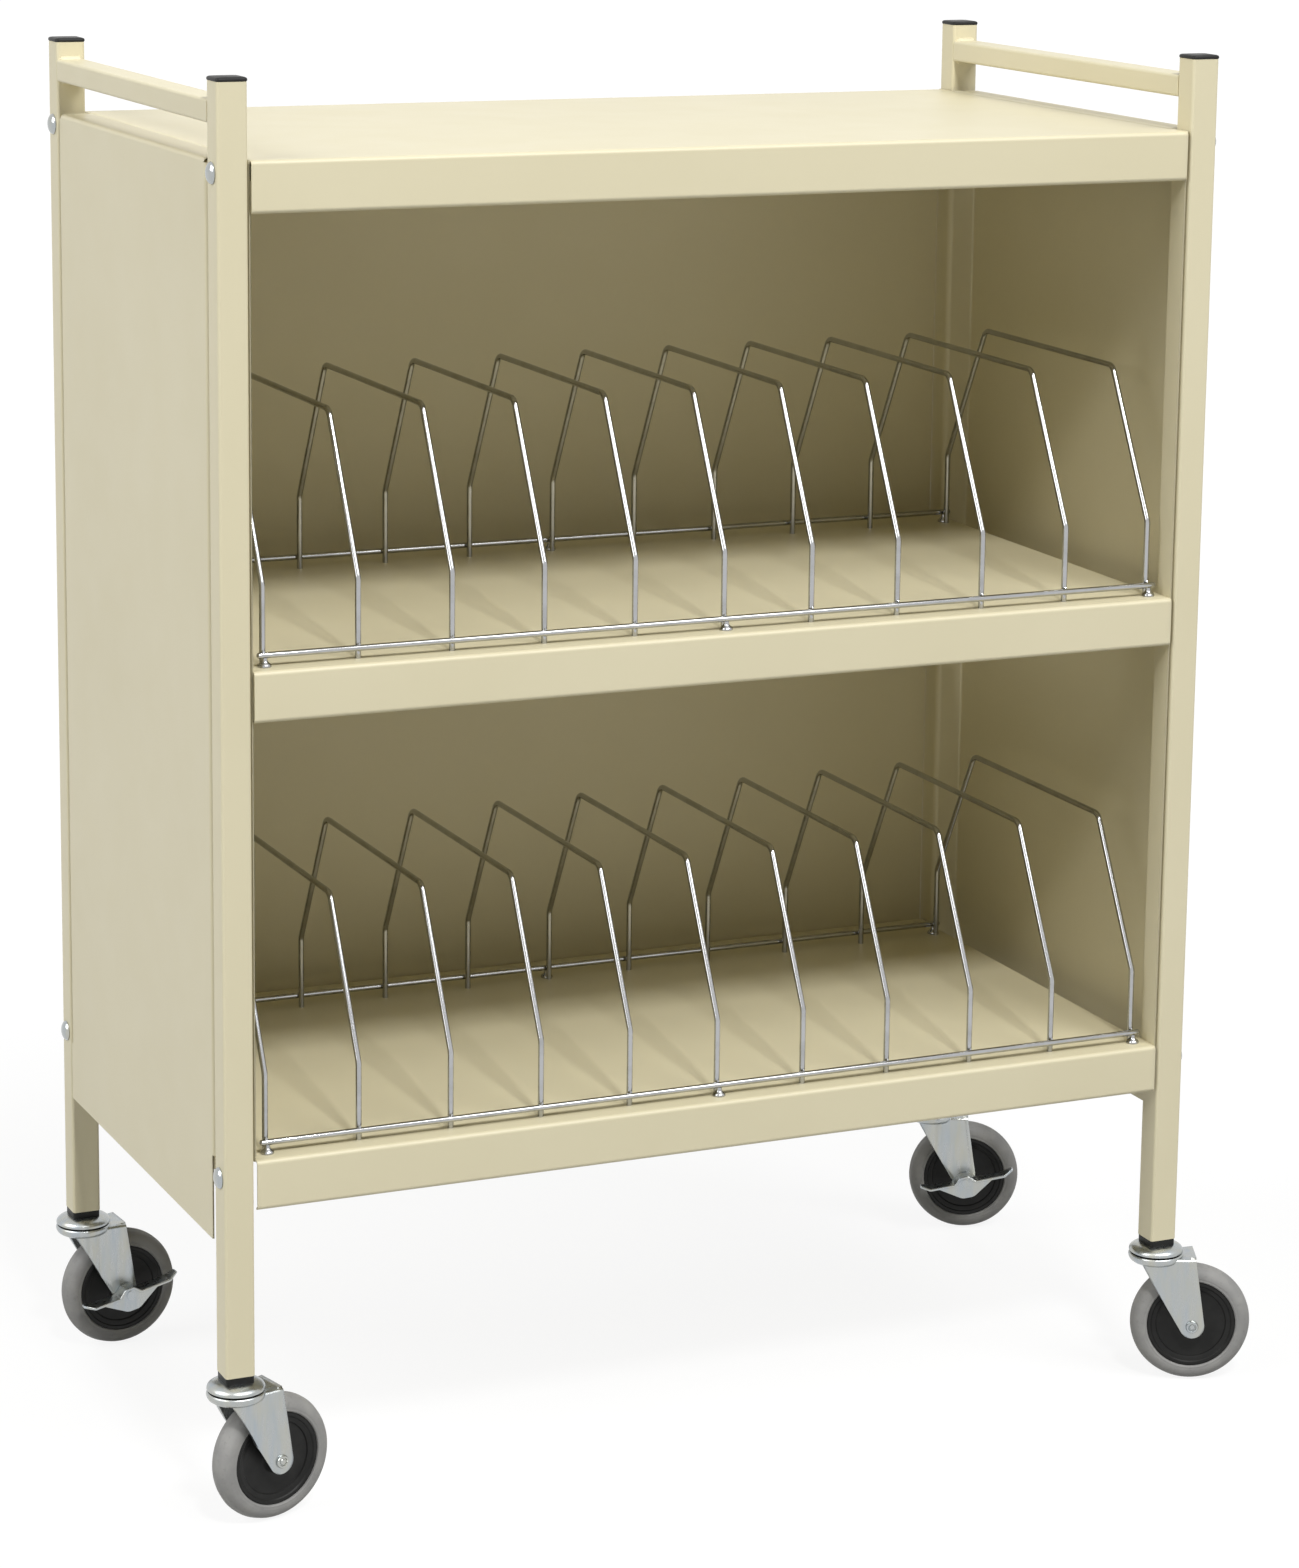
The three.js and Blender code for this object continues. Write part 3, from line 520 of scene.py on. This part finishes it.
def zinc_plate(name, roughness):
    """Bright zinc plate: soft streaks down the piece, with a passivation tint from blue to yellow."""
    material, shader, place = new_finish(name, {"Metallic": 1.0})
    drawn = place.node("ShaderNodeVectorMath", {"operation": "MULTIPLY"}, {0: place, 1: ZINC_STREAK})
    drift = between(noise(drawn, scale=90), low=0.35, high=0.65)
    bloom = between(noise(drawn, scale=240, detail=3), low=0.35, high=0.75)
    hue = tint(drift, ZINC_BLUE, ZINC_YELLOW)
    feed(shader, {
        "Base Color": tint(ZINC_TINT + ZINC_TINT_RANGE * bloom, ZINC, hue),
        "Roughness": roughness + ZINC_DULLING * bloom,
        "Normal": bump(noise(place, scale=900), strength=0.05, depth=0.00005),
    })
    return material


def bolt_profile():
    """Radius and height along a round head, from its shank to its crown."""
    profile = [(BOLT_SHANK, -TUBE_WALL), (BOLT_HEAD - BOLT_UNDERCUT, 0)]
    for step in range(BOLT_DOME_STEPS):
        angle = BOLT_DOME_START + BOLT_DOME_SWEEP * step / (BOLT_DOME_STEPS - 1)
        profile.append((BOLT_HEAD * math.cos(angle), BOLT_PROUD * math.sin(angle)))
    return profile


bolt_zinc = zinc_plate("bright_zinc_bolts", BOLT_ROUGHNESS)
for corner in CORNERS:
    post_low, post_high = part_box(f"post_{corner}")
    y = (post_low.y + post_high.y) / 2
    left = corner.endswith("left")
    outward = Vector((-1 if left else 1, 0, 0))
    inward = Vector((1 if left else -1, 0, 0))
    outer = post_low.x if left else post_high.x
    panel_low, panel_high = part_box("end_panel_left" if left else "end_panel_right")
    for level, drop in BOLT_DROP.items():
        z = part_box(f"shelf_{level}")[1].z - drop
        shells = [turned(bolt_profile(), Vector((outer, y, z)), outward, BOLT_STEPS)]
        if level == "top":
            back = Vector((panel_high.x if left else panel_low.x, y, z))
            shells.append(turned(WASHER, back, inward, BOLT_STEPS))
            shells.append(turned(NUT, back + WASHER_THICKNESS * inward, inward, NUT_SIDES))
        piece(f"frame_bolt_{corner}_{level}", shells, bolt_zinc, "zinc_steel", "frame")

# Wire racks: eleven hoops of bright plated wire on each of the two lower shelves, their legs welded
# to a front and a rear rail. Small flared feet carry the rails at both ends and the middle.
RIGHTWARD = Vector((1, 0, 0))
CHROME = (0.45, 0.455, 0.46, 1)
CHROME_DULL = (0.36, 0.365, 0.36, 1)
CHROME_ROUGHNESS = 0.09
CHROME_DULLING = 0.12
WIRE = 0.0024
WIRE_SIDES = 12
WIRE_BEND_STEPS = 6
HOOPS = 11
HOOP_BEND = 0.010
HOOP_FRONT_SETBACK = 0.021
HOOP_REAR_SETBACK = 0.057
HOOP_SLANT = 0.065
HOOP_KNEE = 0.062
HOOP_HEIGHT = 0.183
RAIL_HEIGHT = 0.009
RAIL_OFFSET = 0.0051
RAIL_ROUNDING = ((0.0, 0.55), (0.0007, 0.88), (0.0016, 1.0))
NUGGET = ((-0.0034, 0.3), (-0.002, 0.8), (0.0, 1.0), (0.002, 0.8), (0.0034, 0.3))
NUGGET_RADIUS = 0.0019
FOOT_HOOPS = (1, (1 + HOOPS) // 2, HOOPS)
FOOT_STEPS = 28
FOOT = ((0.0050, 0.0), (0.0053, 0.0003), (0.0053, 0.0013), (0.0050, 0.0020), (0.0042, 0.0028),
        (0.0032, 0.0036), (0.0025, 0.0045), (0.0023, 0.0055), (0.0022, 0.0072))


def plated_wire():
    """Bright plate over drawn wire, with dull patches and shallow draw marks."""
    material, shader, place = new_finish("bright_plated_wire", {"Metallic": 1.0})
    dull = between(noise(place, scale=55, detail=4), low=0.45, high=0.8)
    marks = noise(place, scale=1500, detail=3)
    feed(shader, {
        "Base Color": tint(dull, CHROME, CHROME_DULL),
        "Roughness": CHROME_ROUGHNESS + CHROME_DULLING * dull,
        "Normal": bump(marks, strength=0.1, depth=0.00006),
    })
    return material


chrome = plated_wire()
for rack, level in (("upper", "middle"), ("lower", "bottom")):
    shelf_low, shelf_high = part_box(f"shelf_{level}")
    shelf = shelf_high.z
    front = shelf_low.y + HOOP_FRONT_SETBACK
    rear = shelf_high.y - HOOP_REAR_SETBACK
    hoops = []
    for index in range(1, HOOPS + 1):
        low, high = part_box(f"divider_{rack}_{index}")
        x = (low.x + high.x) / 2
        hoops.append(x)
        side_view = [(front, shelf), (front, shelf + HOOP_KNEE), (front + HOOP_SLANT, shelf + HOOP_HEIGHT),
                     (rear - HOOP_SLANT, shelf + HOOP_HEIGHT), (rear, shelf + HOOP_KNEE), (rear, shelf)]
        path = bent([Vector((x, y, z)) for y, z in side_view], HOOP_BEND, WIRE_BEND_STEPS)
        hoop = rod(path, [WIRE] * len(path), RIGHTWARD, WIRE_SIDES)
        piece(f"divider_hoop_{rack}_{index}", [hoop], chrome, "chrome_wire", "frame",
              f"divider_{rack}_{index}")
    for end, leg, outward in (("front", front, -1), ("rear", rear, 1)):
        low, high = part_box(f"rack_rail_{rack}_{end}")
        y = leg + outward * RAIL_OFFSET
        z = shelf + RAIL_HEIGHT
        path = [Vector((low.x + inset, y, z)) for inset, _ in RAIL_ROUNDING]
        path += [Vector((high.x - inset, y, z)) for inset, _ in reversed(RAIL_ROUNDING)]
        radii = [WIRE * share for _, share in RAIL_ROUNDING]
        rail = rod(path, radii + radii[::-1], REARWARD, WIRE_SIDES)
        piece(f"rack_wire_{rack}_{end}", [rail], chrome, "chrome_wire", "frame", f"rack_rail_{rack}_{end}")
        nuggets = []
        for x in hoops:
            path = [Vector((x, leg + outward * RAIL_OFFSET / 2, z + along)) for along, _ in NUGGET]
            radii = [NUGGET_RADIUS * share for _, share in NUGGET]
            nuggets.append(rod(path, radii, RIGHTWARD, BEAD_SIDES))
        piece(f"rack_welds_{rack}_{end}", nuggets, chrome, "chrome_wire", "frame")
        stands = [Vector((hoops[number - 1], y, shelf)) for number in FOOT_HOOPS]
        feet = [turned(FOOT, stand, UPWARD, FOOT_STEPS) for stand in stands]
        piece(f"rack_feet_{rack}_{end}", feet, chrome, "chrome_wire", "frame")

# Caster stems: a black plastic plug expanded inside the post, with a square collar below it.
# Under the collar sits the pressed upper race of the swivel, zinc plated, over a dark grease seal.
PRESSING_ROUGHNESS = 0.26
STEM_INSET = 0.0004
COLLAR_EDGE = 0.0006
COLLAR_SINK = 0.0012
RACE_RADIUS = 0.0235
RACE_GAP = 0.0011
RACE_STEPS = 64
LOWER_RACE_TOP = 0.1122
UPPER_RACE_TOP = 0.1205
UPPER_RACE = ((0.88, 0.0), (0.955, 0.02), (0.98, 0.10), (0.98, 0.22), (0.965, 0.38), (0.93, 0.54),
              (0.87, 0.69), (0.79, 0.81), (0.70, 0.91), (0.59, 0.97), (0.48, 1.0))
SEAL = ((0.80, -1.4), (0.84, -1.4), (0.84, 0.6), (0.80, 0.6))


class Caster:
    """One caster: where its king pin stands, how it is turned, and its axle, from the frame's joints."""

    def __init__(self, corner):
        pins = {joint["name"]: joint for joint in frame["joints"]}
        roll = pins[f"roll_{corner}"]
        pin = Vector(pins[f"swivel_{corner}"]["pos_m"])
        axle = Vector(roll["pos_m"])
        turn = math.atan2(-roll["axis"][0], roll["axis"][1])
        self.corner = corner
        self.braked = f"brake_{corner}" in pins
        self.trail = (axle.xy - pin.xy).length
        self.axle = axle.z
        self.upright = Matrix.Translation((pin.x, pin.y, 0))
        self.matrix = self.upright @ Matrix.Rotation(turn, 4, "Z")


def placed(shells, matrix):
    """Shells that are made about a king pin, moved to where it stands."""
    return [([matrix @ point for point in points], faces) for points, faces in shells]


casters = [Caster(corner) for corner in CORNERS]
zinc = zinc_plate("zinc_plate_pressings", PRESSING_ROUGHNESS)
for caster in casters:
    corner = caster.corner
    post_low, post_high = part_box(f"post_{corner}")
    stem_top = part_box(f"caster_stem_{corner}")[1].z
    reach = (post_high.x - post_low.x) / 2 - STEM_INSET
    plug = reach - TUBE_WALL
    rows = []
    for half, z in ((reach - COLLAR_EDGE, UPPER_RACE_TOP - COLLAR_SINK), (reach, UPPER_RACE_TOP),
                    (reach, post_low.z), (plug, post_low.z), (plug, stem_top)):
        rows.append([Vector((u, v, z)) for u, v in rounded_rectangle(half, half, TUBE_CORNER)])
    collar = placed([skin(rows)], caster.upright)
    piece(f"caster_collar_{corner}", collar, black, "black_plastic", "frame")
    seat = LOWER_RACE_TOP + RACE_GAP
    dome = [(RACE_RADIUS * share, seat + rise * (UPPER_RACE_TOP - seat)) for share, rise in UPPER_RACE]
    race = placed([turned(dome, Vector(), UPWARD, RACE_STEPS)], caster.upright)
    piece(f"caster_upper_race_{corner}", race, zinc, "zinc_steel", "frame", f"caster_stem_{corner}")
    ring = [(RACE_RADIUS * share, seat + rise * RACE_GAP) for share, rise in SEAL]
    seal = placed([turned(ring, Vector(), UPWARD, RACE_STEPS, loop=True)], caster.upright)
    piece(f"caster_seal_{corner}", seal, black, "black_plastic", "frame")

# Caster forks: pressed from one zinc plated sheet. The legs are flat at the rear and curve round the
# race in front, and taper to round ends. The lower race is rolled over at its rim, and the axle is
# riveted through both legs. On the rear casters it also carries the brake pedal.
FORWARD = Vector((0, -1, 0))
FORK_SHEET = 0.0025
FORK_OUTER = 0.0175
FORK_REAR = 0.033
FORK_FRONT = -0.0145
FORK_TOP = 0.111
FORK_FOLD = 0.0032
FORK_CREASE = 0.008
FORK_CREASE_ANGLE = math.radians(19)
FORK_LEG_END = 0.0105
FORK_LIFT = 0.0012
FORK_FLAT_COLUMNS = 6
FORK_ROUND_COLUMNS = 8
FORK_LEG_ROWS = 10
FORK_END_ROWS = 8
FORK_FOLD_ROWS = 6
LOWER_RACE = ((0.60, 0.1036), (0.74, 0.1040), (0.86, 0.1050), (0.94, 0.1064), (0.98, 0.1080),
              (0.995, 0.1095), (0.99, 0.1108), (0.975, 0.1117), (0.95, 0.1121), (0.90, 0.1120),
              (0.86, 0.1112), (0.30, 0.1112))
RIVET_HEAD = ((0.0040, 0.0), (0.0053, 0.0), (0.0055, 0.0005), (0.0053, 0.0014), (0.0048, 0.0021),
              (0.0041, 0.0023), (0.0035, 0.0020), (0.0030, 0.0009), (0.0025, 0.0008), (0.0020, 0.0013),
              (0.0008, 0.0015))
AXLE = 0.004
AXLE_STEPS = 32
PEDAL_WIDTH = 0.014


def leg_edge(caster, x, z, turn):
    """Where a straight leg edge from a point touches the round end, as an angle about the axle."""
    across = x - caster.trail
    rise = z - caster.axle
    return math.atan2(rise, across) + turn * math.acos(FORK_LEG_END / math.hypot(across, rise))


def leg_rows(caster):
    """Rear and front limits of a leg at steps from its round end up to the fold at its top."""
    rear_touch = leg_edge(caster, FORK_REAR, FORK_TOP, -1)
    front_touch = leg_edge(caster, FORK_FRONT, FORK_TOP, 1)
    middle = Vector((caster.trail, caster.axle))
    down = -math.pi / 2
    rows = []
    for step in range(FORK_END_ROWS + 1):
        share = step / FORK_END_ROWS
        rear = down + share * (rear_touch - down)
        front = down - share * (down + 2 * math.pi - front_touch)
        rows.append([middle + FORK_LEG_END * Vector((math.cos(a), math.sin(a))) for a in (rear, front)])
    rear_start, front_start = rows[-1]
    fold = FORK_TOP - FORK_FOLD
    for step in range(1, FORK_LEG_ROWS + 1):
        share = step / FORK_LEG_ROWS
        rows.append([rear_start.lerp(Vector((FORK_REAR, fold)), share),
                     front_start.lerp(Vector((FORK_FRONT, fold)), share)])
    return rows


def across_leg(rear, front, inset):
    """Points across a leg: flat from its rear edge to the crease, then round the king pin to its front."""
    circle = math.hypot(FORK_CREASE, FORK_OUTER)
    crease = min(max(FORK_CREASE, front.x), rear.x)
    flat_shares = [step / FORK_FLAT_COLUMNS for step in range(FORK_FLAT_COLUMNS)]
    round_shares = [step / FORK_ROUND_COLUMNS for step in range(FORK_ROUND_COLUMNS + 1)]
    stops = [rear.x + (crease - rear.x) * share for share in flat_shares]
    stops += [crease + (front.x - crease) * share for share in round_shares]
    points = []
    for x in stops:
        z = rear.y + (front.y - rear.y) * (rear.x - x) / max(rear.x - front.x, WELD_DISTANCE)
        if x >= FORK_CREASE:
            points.append(Vector((x, FORK_OUTER - inset, z)))
        else:
            drawn_in = 1 - inset / circle
            points.append(Vector((x * drawn_in, math.sqrt(circle * circle - x * x) * drawn_in, z)))
    return points


def fork_shell(caster):
    """One leg up to its fold, over the top plate and down the other leg."""
    limits = leg_rows(caster)
    half = [across_leg(rear, front, 0) for rear, front in limits]
    for step in range(1, FORK_FOLD_ROWS + 1):
        angle = step / FORK_FOLD_ROWS * math.pi / 2
        lift = Vector((0, 0, FORK_FOLD * math.sin(angle)))
        inset = FORK_FOLD * (1 - math.cos(angle))
        half.append([point + lift for point in across_leg(*limits[-1], inset)])
    far = [[Vector((point.x, -point.y, point.z)) for point in row] for row in reversed(half)]
    for point in half[-1] + far[0]:
        point.z += FORK_LIFT * max(0, point.x - RACE_RADIUS) / (FORK_REAR - RACE_RADIUS)
    return skin(half + far, ring=False)


def axle_shells(caster):
    """The axle with riveted heads, or, on the side of a brake pedal, a plain end inside its gusset."""
    middle = Vector((caster.trail, 0, caster.axle))
    near = FORK_OUTER + PEDAL_WIDTH if caster.braked else FORK_OUTER
    shells = [
        turned([(AXLE, -near), (AXLE, FORK_OUTER)], middle, REARWARD, AXLE_STEPS),
        turned(RIVET_HEAD, middle + FORK_OUTER * REARWARD, REARWARD, AXLE_STEPS),
    ]
    if not caster.braked:
        shells.append(turned(RIVET_HEAD, middle + FORK_OUTER * FORWARD, FORWARD, AXLE_STEPS))
    return shells


for caster in casters:
    corner = caster.corner
    body = f"fork_{corner}"
    pressing = placed([fork_shell(caster)], caster.matrix)
    legs = piece(f"fork_pressing_{corner}", pressing, zinc, "zinc_steel", body, f"caster_fork_{corner}")
    legs.data.set_sharp_from_angle(angle=FORK_CREASE_ANGLE)
    highest = max(legs.data.polygons, key=lambda face: face.center.z)
    thickened(legs, highest, UPWARD, FORK_SHEET)
    profile = [(RACE_RADIUS * share, z) for share, z in LOWER_RACE]
    race = placed([turned(profile, Vector(), UPWARD, RACE_STEPS)], caster.matrix)
    piece(f"fork_lower_race_{corner}", race, zinc, "zinc_steel", body)
    axle = placed(axle_shells(caster), caster.matrix)
    piece(f"fork_axle_{corner}", axle, bolt_zinc, "zinc_steel", body)

# Wheels: a black moulded hub with a long boss on the axle, a dished web with a step in it and a rim,
# and a grey rubber tyre with a crowned tread, round shoulders and a bead that grips the rim.
RUBBER = (0.29, 0.287, 0.28, 1)
RUBBER_DUSTY = (0.36, 0.355, 0.34, 1)
RUBBER_SCUFFED = (0.22, 0.217, 0.21, 1)
RUBBER_SCUFF_SHARE = 0.5
RUBBER_ROUGHNESS = 0.62
RUBBER_DUST_DULLING = 0.2
HUB_HALF = ((0.0041, 0.0147), (0.0092, 0.0147), (0.0099, 0.0142), (0.0106, 0.0100), (0.0122, 0.0080),
            (0.0150, 0.0074), (0.0283, 0.0068), (0.0294, 0.0071), (0.0300, 0.0082), (0.0311, 0.0087),
            (0.0337, 0.0093), (0.0346, 0.0103), (0.0368, 0.0105), (0.0375, 0.0101))
TYRE_BEAD = ((0.0377, 0.0098), (0.0381, 0.0111), (0.0390, 0.0117), (0.0404, 0.0115), (0.0414, 0.0117))
TYRE_SHOULDER = 0.0091
TYRE_SHOULDER_STEPS = 9
TYRE_CROWN = 0.0007
TYRE_CROWN_FLAT = 0.0015
WHEEL_STEPS = 96


def rubber():
    """Grey rubber: fine mould grain, with dust and scuffs that break up its colour."""
    material, shader, place = new_finish("grey_rubber_tyre", {"Metallic": 0.0, "Specular IOR Level": 0.35})
    dust = between(noise(place, scale=60, detail=5), low=0.42, high=0.75)
    scuffs = between(noise(place, scale=260, detail=3), low=0.58, high=0.78)
    grain = noise(place, scale=1600)
    dusty = tint(dust, RUBBER, RUBBER_DUSTY)
    feed(shader, {
        "Base Color": tint(RUBBER_SCUFF_SHARE * scuffs, dusty, RUBBER_SCUFFED),
        "Roughness": RUBBER_ROUGHNESS + RUBBER_DUST_DULLING * dust,
        "Normal": bump(grain, strength=0.25, depth=0.00012),
    })
    return material


def whole_wheel(half_profile, caster):
    """Half a wheel profile of radius and distance from the middle, mirrored, closed and turned."""
    loop = [(radius, -width) for radius, width in half_profile]
    loop += [(radius, width) for radius, width in reversed(half_profile)]
    centre = Vector((caster.trail, 0, caster.axle))
    return placed([turned(loop, centre, REARWARD, WHEEL_STEPS, loop=True)], caster.matrix)


grey = rubber()
for caster in casters:
    corner = caster.corner
    body = f"wheel_{corner}"
    low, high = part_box(f"tyre_{corner}")
    radius = (high.z - low.z) / 2
    half_width = TYRE_BEAD[-1][1]
    tyre = list(TYRE_BEAD)
    for step in range(TYRE_SHOULDER_STEPS + 1):
        angle = step / TYRE_SHOULDER_STEPS * math.pi / 2
        tyre.append((radius - TYRE_CROWN - TYRE_SHOULDER * (1 - math.sin(angle)),
                     half_width - TYRE_SHOULDER * (1 - math.cos(angle))))
    tyre.append((radius, TYRE_CROWN_FLAT))
    hub_shells = whole_wheel(HUB_HALF, caster)
    piece(f"wheel_hub_moulding_{corner}", hub_shells, black, "black_plastic", body, f"wheel_hub_{corner}")
    piece(f"tyre_ring_{corner}", whole_wheel(tyre, caster), grey, "grey_rubber", body, f"tyre_{corner}")

# Brake pedals: zinc plated steel on each rear axle. The gusset turns on the axle, and carries a foot
# strip that humps over the axle, stands out a little past the gusset and turns up at both tips.
PEDAL_PLAY = 0.0003
PEDAL_SHEET = 0.0016
PEDAL_STRIP = 0.0024
PEDAL_EDGE = 0.0009
PEDAL_EDGE_STEPS = 3
PEDAL_EDGE_ANGLE = math.radians(60)
PEDAL_SIDE = ((-0.042, 0.004), (-0.033, 0.0), (-0.0095, 0.0), (-0.0035, 0.0058),
              (0.0035, 0.0058), (0.0095, 0.0), (0.037, 0.0), (0.046, 0.004))
PEDAL_GUSSET = ((0.027, 0.0), (0.0055, -0.014), (-0.0055, -0.014), (-0.027, 0.0))
PEDAL_GUSSET_INSET = 0.0016
PEDAL_GUSSET_ROUNDING = 0.009
PEDAL_BEND = 0.0038
PEDAL_TILT = math.radians(12)
PEDAL_TIP = 0.009
PEDAL_TIP_NARROWING = 0.004


def gauged(made, thickness):
    """A sheet thickened equally to both sides of its middle, with rolled edges."""
    gauge = made.modifiers.new("gauge", "SOLIDIFY")
    gauge.thickness = thickness
    gauge.offset = 0
    rolled = made.modifiers.new("rolled_edge", "BEVEL")
    rolled.width = PEDAL_EDGE * thickness / PEDAL_STRIP
    rolled.segments = PEDAL_EDGE_STEPS
    rolled.angle_limit = PEDAL_EDGE_ANGLE
    return even_shading(made)


for caster in casters:
    if not caster.braked:
        continue
    corner = caster.corner
    body = f"pedal_{corner}"
    inner = -FORK_OUTER - PEDAL_PLAY
    outer = inner - PEDAL_WIDTH
    line = bent([Vector((along, 0, rise)) for along, rise in PEDAL_SIDE], PEDAL_BEND)
    rows = []
    for point in line:
        to_tip = min(point.x - line[0].x, line[-1].x - point.x)
        narrow = PEDAL_TIP_NARROWING * max(0, 1 - to_tip / PEDAL_TIP) ** 2
        rows.append([point + Vector((0, outer + narrow, 0)), point + Vector((0, inner - narrow, 0))])
    upper = [point for point in line if abs(point.x) < PEDAL_GUSSET[0][0]]
    lower = bent([Vector((along, 0, rise)) for along, rise in PEDAL_GUSSET], PEDAL_GUSSET_ROUNDING)
    web = [point + Vector((0, outer + PEDAL_GUSSET_INSET, 0)) for point in upper + lower]
    tilt = Matrix.Translation((caster.trail, 0, caster.axle)) @ Matrix.Rotation(-PEDAL_TILT, 4, "Y")
    strip = placed([skin(rows, ring=False)], caster.matrix @ tilt)
    gauged(piece(f"pedal_strip_{corner}", strip, zinc, "zinc_steel", body, f"brake_pedal_{corner}"),
           PEDAL_STRIP)
    gusset = placed([(web, [tuple(range(len(web)))])], caster.matrix @ tilt)
    gauged(piece(f"pedal_gusset_{corner}", gusset, zinc, "zinc_steel", body), PEDAL_SHEET)

# Studio: a wide pale floor that turns to plain white away from the rack, soft lamps in front of it,
# at its left and behind it, and a smaller lamp in front that draws the wires' shadows on the shelves.
FLOOR_SIZE = 60
FLOOR_NEAR = 0.7
FLOOR_FAR = 1.7
FLOOR_GREY = (0.42, 0.42, 0.41, 1)
FLOOR_WHITE = (0.85, 0.85, 0.84, 1)
FLOOR_ROUGHNESS = 0.9
FLOOR_GLOW = 1.04
WHITE = (1, 1, 1, 1)
SHADOW_SHARE = 0.85
WORLD_LIGHT = 0.06
LAMP_AIM = Vector((0.0, 0.0, 0.6))
LAMPS = {
    "front_key": {"place": (-0.5, -4.3, 5.6), "size": 0.8, "power": 210, "mirrored": True},
    "right_softbox": {"place": (2.3, -4.1, 6.0), "size": 3.2, "power": 250, "mirrored": True},
    "left_softbox": {"place": (-4.8, -0.4, 4.0), "size": 4.2, "power": 215, "mirrored": True},
    "rear_fill": {"place": (0.4, 4.8, 1.3), "size": 2.2, "power": 75, "mirrored": False},
}


def seen_rays(tree):
    """1 for rays from the camera, off metal or through glass, and 0 for those that light the rack."""
    path = tree.nodes.new("ShaderNodeLightPath").outputs
    straight = Signal(tree, path["Is Camera Ray"])
    glossy = Signal(tree, path["Is Glossy Ray"])
    through = Signal(tree, path["Is Transmission Ray"])
    return straight.maths("MAXIMUM", straight.maths("MAXIMUM", straight, glossy), through)


world = bpy.data.worlds.new("studio")
bpy.context.scene.world = world
world.use_nodes = True
background = world.node_tree.nodes["Background"]
background.inputs["Color"].default_value = WHITE
feed(background, {"Strength": WORLD_LIGHT + (1 - WORLD_LIGHT) * seen_rays(world.node_tree)})

reach = FLOOR_SIZE / 2
floor_corners = [(-reach, -reach, 0), (reach, -reach, 0), (reach, reach, 0), (-reach, reach, 0)]
floor_mesh = bpy.data.meshes.new("studio_floor")
floor_mesh.from_pydata(floor_corners, [], [(0, 1, 2, 3)])
floor = bpy.data.objects.new("studio_floor", floor_mesh)
bpy.context.scene.collection.objects.link(floor)
paper, paper_shader, spot = new_finish("pale_floor", {"Roughness": FLOOR_ROUGHNESS})
seen = seen_rays(paper.node_tree)
feed(paper_shader, {"Base Color": tint(seen, FLOOR_GREY, FLOOR_WHITE)})
lit = Signal(paper.node_tree, paper_shader.outputs["BSDF"])
distance = spot.node("ShaderNodeVectorMath", {"operation": "LENGTH"}, {0: spot}, "Value")
plain = SHADOW_SHARE + (1 - SHADOW_SHARE) * between(distance, FLOOR_NEAR, FLOOR_FAR)
glow = spot.node("ShaderNodeEmission", {}, {"Color": WHITE, "Strength": FLOOR_GLOW})
mixed = spot.node("ShaderNodeMixShader", {}, {0: plain * seen, 1: lit, 2: glow})
feed(paper.node_tree.nodes["Material Output"], {"Surface": mixed})
floor_mesh.materials.append(paper)

posts = [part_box(f"post_{corner}") for corner in CORNERS]
rack_middle = sum((low + high for low, high in posts), Vector()) / (2 * len(posts))
rack_middle.z = 0
for name, lamp in LAMPS.items():
    light = bpy.data.lights.new(name, "AREA")
    light.shape = "SQUARE"
    light.size = lamp["size"]
    light.energy = lamp["power"]
    holder = bpy.data.objects.new(name, light)
    bpy.context.scene.collection.objects.link(holder)
    holder.visible_glossy = lamp["mirrored"]
    holder.location = rack_middle + Vector(lamp["place"])
    holder.rotation_euler = (LAMP_AIM - Vector(lamp["place"])).to_track_quat("-Z", "Y").to_euler()

# Camera: a long lens a little above the top shelf, in front of the rack and to its left.
# The picture's middle lies below the lens axis, so that the posts stay nearly upright.
CAMERA_PLACE = (-1.4228, -3.2344, 1.3869)
CAMERA_HEADING = math.radians(24.09)
CAMERA_DIP = math.radians(11.19)
CAMERA_ROLL = math.radians(0.69)
CAMERA_LENS = 99.2
CAMERA_SENSOR = 36
CAMERA_SHIFT = -0.13

level_right = Vector((math.cos(CAMERA_HEADING), -math.sin(CAMERA_HEADING), 0))
level_ahead = Vector((math.sin(CAMERA_HEADING), math.cos(CAMERA_HEADING), 0))
ahead = math.cos(CAMERA_DIP) * level_ahead - math.sin(CAMERA_DIP) * UPWARD
level_up = level_right.cross(ahead)
right = math.cos(CAMERA_ROLL) * level_right + math.sin(CAMERA_ROLL) * level_up
up = math.cos(CAMERA_ROLL) * level_up - math.sin(CAMERA_ROLL) * level_right
lens = bpy.data.cameras.new("camera")
lens.sensor_width = CAMERA_SENSOR
lens.lens = CAMERA_LENS
lens.shift_y = CAMERA_SHIFT
camera = bpy.data.objects.new("camera", lens)
bpy.context.scene.collection.objects.link(camera)
aim = Matrix((right, up, -ahead)).transposed().to_4x4()
camera.matrix_world = Matrix.Translation(rack_middle + Vector(CAMERA_PLACE)) @ aim
bpy.context.scene.camera = camera
bpy.context.scene.view_settings.view_transform = "Standard"
